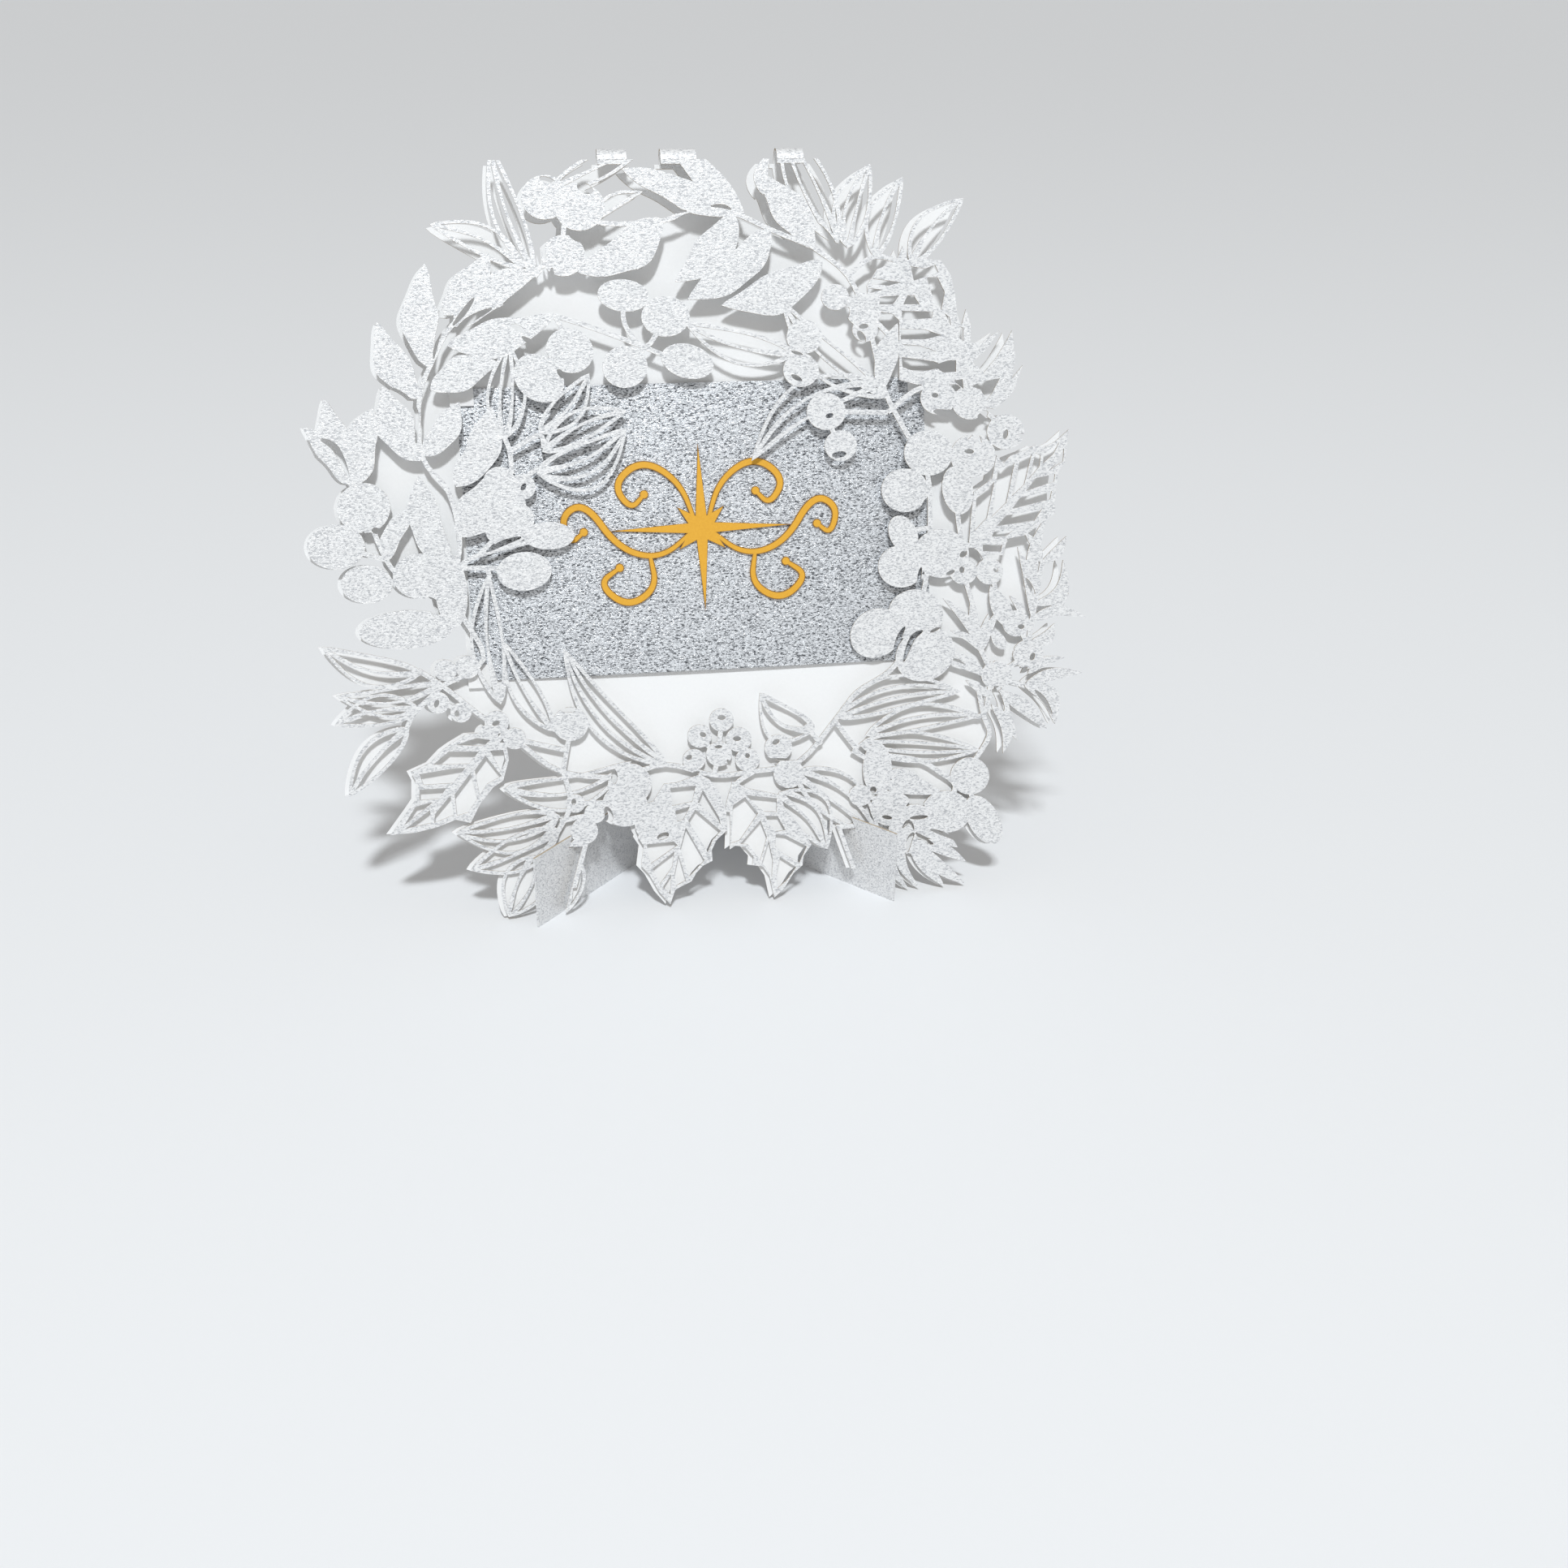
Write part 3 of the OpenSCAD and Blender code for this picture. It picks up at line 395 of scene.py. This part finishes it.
def curved(points):
    """A smooth line through points."""
    spots = [Vector(point) for point in points]
    last = len(spots) - 1
    line = []
    for i in range(last):
        a, b, c, d = (spots[min(max(k, 0), last)] for k in (i - 1, i, i + 1, i + 2))
        for t in (0, 0.25, 0.5, 0.75):
            line.append((2 * b + (c - a) * t + (2 * a - 5 * b + 4 * c - d) * t ** 2
                         + (3 * b - a - 3 * c + d) * t ** 3) / 2)
    return line + [spots[-1]]


def band_line(path, widths):
    """The outline of a band along a path, with a width at each of its points."""
    last = len(path) - 1
    left, right = [], []
    for i, spot in enumerate(path):
        run = path[min(i + 1, last)] - path[max(i - 1, 0)]
        side = Vector((run.y, -run.x)).normalized() * widths[i] / 2
        left.append(spot + side)
        right.append(spot - side)
    return left + right[::-1]


def stem_line(points):
    """The outline of a stem, which is as wide at its ends as in its middle."""
    path = curved(points)
    return band_line(path, [stem_px] * len(path))


def window_line(points, width):
    """The outline of a slit that narrows to its ends."""
    end_power, end_share = 0.6, 0.25
    path = curved(points)
    last = len(path) - 1
    return band_line(path, [
        width * max(math.sin(math.pi * i / last) ** end_power, end_share) for i in range(last + 1)])


# The two lower holly leaves are squeezed a little so that their tips just reach the floor.
lower_left_px, lower_middle_px, lower_right_px = 780, 897, 1030
lower_top_px = 970
left_squeeze_share = 0.88
right_squeeze_share = 0.8


def squeezed(spot):
    """A point of a holly leaf, raised where it belongs to one of the lower two."""
    share = 1
    if lower_left_px < spot[0] < lower_right_px and spot[1] > lower_top_px:
        share = left_squeeze_share if spot[0] < lower_middle_px else right_squeeze_share
    return Vector((spot[0], lower_top_px + (spot[1] - lower_top_px) * share))


# Each outline has a kind: a piece of paper, a slit in that piece alone, a cut through
# all of the lace or of the back leaf, paper of the back leaf alone, or the frame.
outlines = []


def add_outline(kind, line, owner=None):
    """Adds an outline in mm on the sheet. A slit names the outline that owns it."""
    outlines.append((kind, len(outlines) if owner is None else owner, line))


def draw(kind, line, slits=()):
    """Adds a shape of the picture with the slits in it."""
    owner = len(outlines)
    add_outline(kind, [on_lace(spot) for spot in line])
    for slit in slits:
        add_outline("slit", [on_lace(spot) for spot in slit], owner)


for row in laurel_rows_px:
    draw("paper", leaf_line(row, leaf_wave))
for row in needle_rows_px:
    draw("paper", leaf_line(row, 0))
for row in ribbed_rows_px + willow_rows_px:
    draw("paper", leaf_line(row, 0), slit_lines(row, row[6]))
for row in round_rows_px:
    draw("paper", oval_line(row))
for x, y, radius in berry_rows_px:
    draw("paper", oval_line((x, y, radius, radius * berry_flat_share, 0)))
for row in vine_rows_px:
    draw("paper", stem_line(row))
for row in holly_lines_px:
    draw("paper", [squeezed(spot) for spot in row])
for row in cell_lines_px:
    draw("lace cut", [squeezed(spot) for spot in row])
for row in eye_rows_px:
    draw("lace cut", oval_line(row))
for row, width in slit_rows_px:
    draw("lace cut", window_line(row, width))

# In mm on the sheet: the slots that sit on the strip, each in a rim of paper, the
# windows that the tabs leave in the back leaf, and its seat behind the silver card.
stand_span, stand_reach, stand_nose = 71, 38, 3.8
slot_w, slot_top, slot_under = 3.4, 13.73, 2
rim_w, rim_from = 0.95, 5.5
back_slip = 0.9
silver_w, silver_h, silver_x, silver_up = 90, 55, 0.5, 74.5
tab_size, tab_reach, tab_clear = 4.5, 3.2, 0.2
tab_out = tab_size - tab_reach


def leg_x(up):
    """Half the distance between the strip's legs at a height up the sheet."""
    return stand_span / 2 * (1 - (up * math.sin(lean) + stand_nose) / stand_reach)


def box_line(x, y, half_x, half_y):
    """A rectangle's outline."""
    return [Vector((x + i * half_x, y + k * half_y)) for i, k in ((-1, -1), (1, -1), (1, 1), (-1, 1))]


for way in (-1, 1):
    for kind, grow, low, high, slip in (
            ("paper", rim_w, rim_from, slot_top + rim_w, 0),
            ("lace cut", 0, -slot_under, slot_top, 0),
            ("back cut", 0, -slot_under, slot_top, back_slip)):
        add_outline(kind, [
            Vector((way * leg_x(up) + side * (slot_w / 2 + grow) + slip, up))
            for up, side in ((low, -1), (low, 1), (high, 1), (high, -1))])
    for lift in (-1, 1):
        window_in = (tab_reach + tab_clear) / 2
        window_half = (tab_reach - tab_clear) / 2
        add_outline("back cut", box_line(
            silver_x + back_slip + way * (silver_w / 2 - window_in),
            silver_up + lift * (silver_h / 2 - window_in), window_half, window_half))
add_outline("back", box_line(
    silver_x + back_slip, silver_up, silver_w / 2 + tab_out, silver_h / 2 + tab_out))

# Both leaves end at the fold and just over the floor, and three bridges cross the fold.
past_half_w, past_half_h = 120, 20
floor_clear = 0.3
bridge_spans = ((-15.9, -10.5), (-4.16, 2.51), (17.71, 22.79))
bridge_root = 0.8
frame_up, frame_half_w, frame_half_h = 70, 130, 110
for past_up in (fold_up / MM + past_half_h, floor_clear - past_half_h):
    for kind in ("lace cut", "back cut"):
        add_outline(kind, box_line(0, past_up, past_half_w, past_half_h))
for left, right in bridge_spans:
    add_outline("paper", box_line(
        (left + right) / 2, fold_up / MM - bridge_root / 2, (right - left) / 2, bridge_root / 2))
add_outline("frame", box_line(0, frame_up, frame_half_w, frame_half_h))


def plan_of(lines):
    """Lays outlines over each other: the points, the faces, and the outlines over each face."""
    weld_gap = 0.002
    spots, rings = [], []
    for line in lines:
        turn = sum(a.cross(b) for a, b in zip(line, line[1:] + line[:1]))
        ring = line if turn > 0 else line[::-1]
        rings.append(list(range(len(spots), len(spots) + len(ring))))
        spots.extend(ring)
    plan = delaunay_2d_cdt(spots, [], rings, 0, weld_gap, True)
    return plan[0], plan[2], plan[5]


def is_lace(owners):
    """True where the drawing leaves paper in the lace."""
    kinds = [outlines[i][0] for i in owners]
    if "lace cut" in kinds:
        return False
    cut = {outlines[i][1] for i in owners if outlines[i][0] == "slit"}
    return any(outlines[i][0] == "paper" and outlines[i][1] not in cut for i in owners)


# The back leaf is all that can't be reached from outside without crossing the lace.
sheet_plan = plan_of([line for kind, owner, line in outlines])
plan_faces, plan_owners = sheet_plan[1:]
lace_faces = [is_lace(owners) for owners in plan_owners]
beside = {}
for i, face in enumerate(plan_faces):
    for a, b in zip(face, face[1:] + face[:1]):
        beside.setdefault((min(a, b), max(a, b)), []).append(i)
outside = {i for sides in beside.values() if len(sides) == 1 for i in sides if not lace_faces[i]}
edge_of_search = list(outside)
while edge_of_search:
    face = plan_faces[edge_of_search.pop()]
    for a, b in zip(face, face[1:] + face[:1]):
        for k in beside[(min(a, b), max(a, b))]:
            if k not in outside and not lace_faces[k]:
                outside.add(k)
                edge_of_search.append(k)
back_faces = []
for i, owners in enumerate(plan_owners):
    kinds = [outlines[k][0] for k in owners]
    back_faces.append(("back" in kinds or i not in outside) and "back cut" not in kinds)


def thicken(sheet, thickness):
    """Gives the active flat piece its thickness, backward from its front."""
    depth = sheet.modifiers.new("depth", "SOLIDIFY")
    depth.thickness = thickness
    depth.offset = -1
    bpy.ops.object.modifier_apply(modifier="depth")


def cut_plate(name, plan, kept, thickness, slip):
    """A plate cut to the kept faces of a plan, its front at z = 0.

    A kept face may carry the number of the finish that its front takes.
    """
    points, faces = plan[:2]
    mesh = bpy.data.meshes.new(name)
    mesh.from_pydata(
        [((point.x - slip) * MM, point.y * MM, 0) for point in points], [],
        [face for face, keep in zip(faces, kept) if keep])
    for face, keep in zip(mesh.polygons, [keep for keep in kept if keep]):
        face.material_index = int(keep) - 1
    plate = bpy.data.objects.new(name, mesh)
    bpy.context.collection.objects.link(plate)
    only(plate)
    bpy.ops.object.mode_set(mode="EDIT")
    bpy.ops.mesh.select_all(action="SELECT")
    bpy.ops.mesh.delete_loose()
    bpy.ops.mesh.select_all(action="SELECT")
    bpy.ops.mesh.normals_make_consistent(inside=False)
    bpy.ops.object.mode_set(mode="OBJECT")
    if plate.data.polygons[0].normal.z < 0:
        plate.data.flip_normals()
    thicken(plate, thickness)
    return plate


# A face looks a way when its normal has at least this share along that way.
facing_share = 0.7


def paint_sides(plate, front, back, edge):
    """Gives a flat plate its front, back and cut-edge finishes."""
    plate.data.materials.clear()
    for finish in (front, back, edge):
        plate.data.materials.append(finish)
    for face in plate.data.polygons:
        up = face.normal.z
        face.material_index = 0 if up > facing_share else 1 if up < -facing_share else 2


def flake_group():
    """A coat of mica flakes in short level streaks, as a fleck mask and a height."""
    group = bpy.data.node_groups.new("mica flakes", "ShaderNodeTree")
    for label in ("Flake length", "Flake height"):
        socket = group.interface.new_socket(label, in_out="INPUT", socket_type="NodeSocketFloat")
        socket.default_value = 1.0
    group.interface.new_socket("Vector", in_out="INPUT", socket_type="NodeSocketVector")
    for label in ("Fleck", "Height"):
        group.interface.new_socket(label, in_out="OUTPUT", socket_type="NodeSocketFloat")
    nodes, links = group.nodes, group.links
    start = nodes.new("NodeGroupInput")
    end = nodes.new("NodeGroupOutput")
    size = nodes.new("ShaderNodeCombineXYZ")
    links.new(start.outputs["Flake length"], size.inputs["X"])
    links.new(start.outputs["Flake height"], size.inputs["Y"])
    links.new(start.outputs["Flake height"], size.inputs["Z"])
    laid = nodes.new("ShaderNodeVectorMath")
    laid.operation = "DIVIDE"
    links.new(start.outputs["Vector"], laid.inputs[0])
    links.new(size.outputs[0], laid.inputs[1])
    flakes = nodes.new("ShaderNodeTexNoise")
    flakes.inputs["Scale"].default_value = 1.0
    flakes.inputs["Detail"].default_value = 4.0
    flakes.inputs["Roughness"].default_value = 0.62
    flakes.inputs["Distortion"].default_value = 0.8
    links.new(laid.outputs[0], flakes.inputs["Vector"])
    fleck = nodes.new("ShaderNodeMapRange")
    fleck.inputs["From Min"].default_value = 0.4
    fleck.inputs["From Max"].default_value = 0.54
    links.new(flakes.outputs[0], fleck.inputs["Value"])
    links.new(fleck.outputs["Result"], end.inputs["Fleck"])
    links.new(flakes.outputs[0], end.inputs["Height"])
    return group


mica_flakes = flake_group()


def flake_paper(name, shade, shine, flake_length, flake_height, relief, roughness, metal):
    """A paper with a coat of flakes: shade is its colour between them, shine its colour on them."""
    gloss_spread = 0.12
    paper = bpy.data.materials.new(name)
    paper.use_nodes = True
    nodes, links = paper.node_tree.nodes, paper.node_tree.links
    body = nodes["Principled BSDF"]
    place = nodes.new("ShaderNodeTexCoord")
    coat = nodes.new("ShaderNodeGroup")
    coat.node_tree = mica_flakes
    coat.inputs["Flake length"].default_value = flake_length
    coat.inputs["Flake height"].default_value = flake_height
    links.new(place.outputs["Object"], coat.inputs["Vector"])
    colour = nodes.new("ShaderNodeMix")
    colour.data_type = "RGBA"
    colour.inputs["A"].default_value = (*shade, 1)
    colour.inputs["B"].default_value = (*shine, 1)
    links.new(coat.outputs["Fleck"], colour.inputs["Factor"])
    links.new(colour.outputs["Result"], body.inputs["Base Color"])
    gloss = nodes.new("ShaderNodeMapRange")
    gloss.inputs["To Min"].default_value = roughness + gloss_spread
    gloss.inputs["To Max"].default_value = roughness - gloss_spread
    links.new(coat.outputs["Fleck"], gloss.inputs["Value"])
    links.new(gloss.outputs["Result"], body.inputs["Roughness"])
    bump = nodes.new("ShaderNodeBump")
    bump.inputs["Strength"].default_value = 0.6
    bump.inputs["Distance"].default_value = relief
    links.new(coat.outputs["Height"], bump.inputs["Height"])
    links.new(bump.outputs["Normal"], body.inputs["Normal"])
    body.inputs["Metallic"].default_value = metal
    return paper


def plain_paper(name, light, dark, tooth, relief, roughness):
    """An uncoated paper with a faint tooth from the paper machine."""
    paper = bpy.data.materials.new(name)
    paper.use_nodes = True
    nodes, links = paper.node_tree.nodes, paper.node_tree.links
    body = nodes["Principled BSDF"]
    place = nodes.new("ShaderNodeTexCoord")
    grain = nodes.new("ShaderNodeTexNoise")
    grain.inputs["Scale"].default_value = 1 / tooth
    grain.inputs["Detail"].default_value = 3.0
    links.new(place.outputs["Object"], grain.inputs["Vector"])
    colour = nodes.new("ShaderNodeMix")
    colour.data_type = "RGBA"
    colour.inputs["A"].default_value = (*dark, 1)
    colour.inputs["B"].default_value = (*light, 1)
    links.new(grain.outputs[0], colour.inputs["Factor"])
    links.new(colour.outputs["Result"], body.inputs["Base Color"])
    bump = nodes.new("ShaderNodeBump")
    bump.inputs["Strength"].default_value = 0.3
    bump.inputs["Distance"].default_value = relief
    links.new(grain.outputs[0], bump.inputs["Height"])
    links.new(bump.outputs["Normal"], body.inputs["Normal"])
    body.inputs["Roughness"].default_value = roughness
    return paper


# The sheet is coated on its outside and white inside. The laser scorches its cut edges.
pearl_paper = flake_paper(
    "pearl paper", shade=(0.46, 0.47, 0.49), shine=(0.88, 0.885, 0.89), flake_length=0.56 * MM,
    flake_height=0.25 * MM, relief=0.12 * MM, roughness=0.34, metal=0.15)
white_paper = plain_paper(
    "white inside", light=(0.85, 0.855, 0.86), dark=(0.81, 0.815, 0.82), tooth=0.5 * MM,
    relief=0.02 * MM, roughness=0.8)
scorched_edge = plain_paper(
    "scorched edge", light=(0.5, 0.42, 0.31), dark=(0.34, 0.26, 0.17), tooth=0.8 * MM,
    relief=0.02 * MM, roughness=0.8)

lace = cut_plate("lace", sheet_plan, lace_faces, sheet_t, 0)
lace.data.transform(Matrix.Translation((0, 0, sheet_t)))
paint_sides(lace, pearl_paper, white_paper, scorched_edge)
lace.data.transform(lace_place)

back_leaf = cut_plate("back_leaf", sheet_plan, back_faces, sheet_t, back_slip)
paint_sides(back_leaf, white_paper, pearl_paper, scorched_edge)
back_leaf.data.transform(back_place)

# Three short bridges carry the fold from the back leaf over to the lace.
card_pieces = [lace, back_leaf]
bridge_steps = 16
fold_middle = Vector((0, fold_up, fold_gap / 2))
for left, right in bridge_spans:
    bpy.ops.object.select_all(action="DESELECT")
    bpy.ops.mesh.primitive_plane_add(size=1)
    bridge = bpy.context.view_layer.objects.active
    for corner in bridge.data.vertices:
        corner.co.z = -sheet_t if corner.co.y < 0 else 0
        corner.co.x = (right if corner.co.x > 0 else left) * MM
        corner.co.y = fold_up
    bpy.ops.object.mode_set(mode="EDIT")
    bpy.ops.mesh.select_all(action="SELECT")
    bpy.ops.mesh.spin(
        steps=bridge_steps, angle=-math.pi, center=fold_middle, axis=(1, 0, 0), dupli=False)
    bpy.ops.mesh.select_all(action="SELECT")
    bpy.ops.mesh.normals_make_consistent(inside=False)
    bpy.ops.object.mode_set(mode="OBJECT")
    for finish in (white_paper, pearl_paper, scorched_edge):
        bridge.data.materials.append(finish)
    for face in bridge.data.polygons:
        outward = (face.center - fold_middle).dot(face.normal)
        face.material_index = 2 if abs(face.normal.x) > facing_share else 1 if outward > 0 else 0
    bridge.data.transform(back_place)
    card_pieces.append(bridge)

# Four square tabs are cut from the back leaf and lifted over the silver card's corners.
tab_lift = 0.9
tab_round = 0.12 * MM
for way_x in (-1, 1):
    for way_y in (-1, 1):
        low, high = -tab_reach, tab_out
        tab_mesh = bpy.data.meshes.new("tab")
        tab_mesh.from_pydata(
            [(x * MM, y * MM, z * MM) for x, y, z in (
                (low, low, tab_lift), (high, low, tab_lift), (high, high, tab_lift), (low, high, tab_lift),
                (high, low, 0), (high, high, 0), (low, high, 0))], [],
            [(0, 1, 2, 3), (1, 4, 5, 2), (3, 2, 5, 6)])
        tab = bpy.data.objects.new("tab", tab_mesh)
        bpy.context.collection.objects.link(tab)
        only(tab)
        rounding = tab.modifiers.new("rounding", "BEVEL")
        rounding.width = tab_round
        rounding.segments = 2
        bpy.ops.object.modifier_apply(modifier="rounding")
        thicken(tab, sheet_t)
        tab.data.materials.append(white_paper)
        tab.data.transform(Matrix.Diagonal((way_x, way_y, 1, 1)))
        if way_x * way_y < 0:
            tab.data.flip_normals()
        tab.data.transform(back_place @ Matrix.Translation((
            (silver_x + way_x * silver_w / 2) * MM, (silver_up + way_y * silver_h / 2) * MM, 0)))
        card_pieces.append(tab)
bpy.ops.object.select_all(action="DESELECT")
for piece in card_pieces:
    piece.select_set(True)
bpy.context.view_layer.objects.active = lace
bpy.ops.object.join()
lace.name = "folded_sheet"
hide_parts("card_sheet")
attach(lace, "root")

# Silver card
# A small card of silver glitter paper, white at its core, tucked under four tabs
# of the back leaf. Its tucked corners make it bow forward.
silver_t, silver_bow, glue_gap = 0.35, 0.7, 0.03
silver_paper = flake_paper(
    "silver paper", shade=(0.07, 0.075, 0.085), shine=(0.84, 0.87, 0.91), flake_length=0.56 * MM,
    flake_height=0.25 * MM, relief=0.14 * MM, roughness=0.32, metal=0.4)
silver_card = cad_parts["silver_card"]
silver_card.data.materials.clear()
leaf_front = back_place.to_3x3() @ Vector((0, 0, 1))
for finish in (silver_paper, white_paper):
    silver_card.data.materials.append(finish)
for face in silver_card.data.polygons:
    face.material_index = 0 if face.normal.dot(leaf_front) > facing_share else 1

# Gold flourish
# A star with three scrolls on each side, cut by laser in one piece from gold card
# and glued to the silver card. The beam browns its edges.
gold_w, gold_h, gold_t = 54, 32, 0.45
stroke_w, hairline_w, edge_w = 1.45, 0.7, 0.16
star_w_share = 0.66
star_waist = 3
star_points = 16
ray_shares = (1, 0.16, 0.36, 0.16)
scroll_shares = (
    ((0.04, 0), (0.3, -0.36), (0.6, -0.22), (0.82, 0.36), (1, 0.2), (0.94, -0.14), (0.84, 0)),
    ((0.04, 0.05), (0.14, 0.56), (0.4, 0.84), (0.62, 0.56), (0.5, 0.24), (0.4, 0.42)),
    ((0.38, -0.3), (0.34, -0.7), (0.56, -0.92), (0.76, -0.62), (0.6, -0.44)))
drop_shares = ((0.84, 0), (0.4, 0.42), (0.6, -0.44))
drop_radius_share = 0.6


def eased(points):
    """A line whose corners are cut off again and again until it is smooth."""
    rounds, cut_share = 4, 0.25
    line = [Vector(point) for point in points]
    for _ in range(rounds):
        cut = [line[0]]
        for a, b in zip(line, line[1:]):
            cut += [a * (1 - cut_share) + b * cut_share, a * cut_share + b * (1 - cut_share)]
        line = cut + [line[-1]]
    return line


# The flourish is drawn twice: whole, and drawn in by the width of the browned edge.
gold_lines = []
for inset in (0, edge_w):
    star_line = []
    for i in range(star_points):
        turn = math.radians(360 / star_points * i)
        share = ray_shares[i % len(ray_shares)]
        if share == 1:
            share -= 2 * inset / gold_h
        star_line.append(Vector((
            share / 2 * star_w_share * gold_w * math.cos(turn) * (1 - inset / star_waist),
            share / 2 * gold_h * math.sin(turn) * (1 - inset / star_waist))))
    gold_lines.append((inset, star_line))
    for way in (-1, 1):
        for row in scroll_shares:
            path = eased([(way * x * gold_w / 2, y * gold_h / 2) for x, y in row])
            last = len(path) - 1
            gold_lines.append((inset, band_line(path, [
                hairline_w + (stroke_w - hairline_w) * math.sin(math.pi * i / last) - 2 * inset
                for i in range(last + 1)])))
        for x, y in drop_shares:
            drop = stroke_w * drop_radius_share - inset
            gold_lines.append((inset, oval_line((way * x * gold_w / 2, y * gold_h / 2, drop, drop, 0))))
gold_plan = plan_of([line for inset, line in gold_lines])
gold_faces = []
for owners in gold_plan[2]:
    insets = [gold_lines[i][0] for i in owners]
    gold_faces.append(0 if not insets else 1 if max(insets) > 0 else 2)
gold_piece = cut_plate("gold_scrolls", gold_plan, gold_faces, gold_t * MM, 0)
gold_paper = plain_paper(
    "gold card", light=(0.8, 0.43, 0.035), dark=(0.68, 0.34, 0.022), tooth=0.5 * MM,
    relief=0.02 * MM, roughness=0.45)
browned_edge = plain_paper(
    "browned edge", light=(0.4, 0.2, 0.035), dark=(0.2, 0.09, 0.015), tooth=0.4 * MM,
    relief=0.02 * MM, roughness=0.8)
for finish in (gold_paper, browned_edge):
    gold_piece.data.materials.append(finish)
for face in gold_piece.data.polygons:
    if abs(face.normal.z) < facing_share:
        face.material_index = 1
bow_r = (silver_w ** 2 / 4 + silver_bow ** 2) / (2 * silver_bow)
gold_front = silver_bow + silver_t + 2 * glue_gap + gold_t
for corner in gold_piece.data.vertices:
    corner.co.z += (gold_front - (corner.co.x / MM) ** 2 / (2 * bow_r)) * MM
gold_piece.data.transform(back_place @ Matrix.Translation((silver_x * MM, silver_up * MM, 0)))
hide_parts("gold_flourish")
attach(gold_piece, "root")

# Stand
# A strip of the same pearl paper, folded once to a V, that stands on its edge.
# The sheet's slots sit on it.
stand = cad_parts["stand"]
stand.data.materials.clear()
for finish in (pearl_paper, scorched_edge):
    stand.data.materials.append(finish)
for face in stand.data.polygons:
    face.material_index = 1 if abs(face.normal.z) > facing_share else 0

# Floor and light
# A plain pale floor under daylight from above and behind the viewer, with a small
# soft box that fills the shadows.
floor_paint = bpy.data.materials.new("pale floor")
floor_paint.use_nodes = True
floor_body = floor_paint.node_tree.nodes["Principled BSDF"]
floor_body.inputs["Base Color"].default_value = (0.82, 0.835, 0.855, 1)
floor_body.inputs["Roughness"].default_value = 0.7
bpy.ops.object.select_all(action="DESELECT")
bpy.ops.mesh.primitive_plane_add(size=20)
floor = bpy.context.view_layer.objects.active
floor.name = "floor"
floor.data.materials.append(floor_paint)

light_tint = (0.94, 0.975, 1)
daylight_way = Vector((0.04, 0.55, -0.835))
daylight_data = bpy.data.lights.new("daylight", "SUN")
daylight_data.color = light_tint
daylight_data.energy = 1.2
daylight_data.angle = math.radians(5)
daylight = bpy.data.objects.new("daylight", daylight_data)
bpy.context.collection.objects.link(daylight)
daylight.rotation_euler = daylight_way.to_track_quat("-Z", "Y").to_euler()

soft_box_aim = Vector((0, 0, 0.07))
soft_box_data = bpy.data.lights.new("soft box", "AREA")
soft_box_data.size = 0.1
soft_box_data.color = light_tint
soft_box_data.energy = 3.9
soft_box = bpy.data.objects.new("soft box", soft_box_data)
bpy.context.collection.objects.link(soft_box)
soft_box.location = (-0.08, -0.6, 0.97)
soft_box.rotation_euler = (soft_box_aim - soft_box.location).to_track_quat("-Z", "Y").to_euler()

sky = bpy.data.worlds.new("studio")
sky.use_nodes = True
sky_body = sky.node_tree.nodes["Background"]
sky_body.inputs["Color"].default_value = (1, 0.98, 0.95, 1)
sky_body.inputs["Strength"].default_value = 0.45
bpy.context.scene.world = sky
bpy.context.scene.view_settings.view_transform = "Standard"
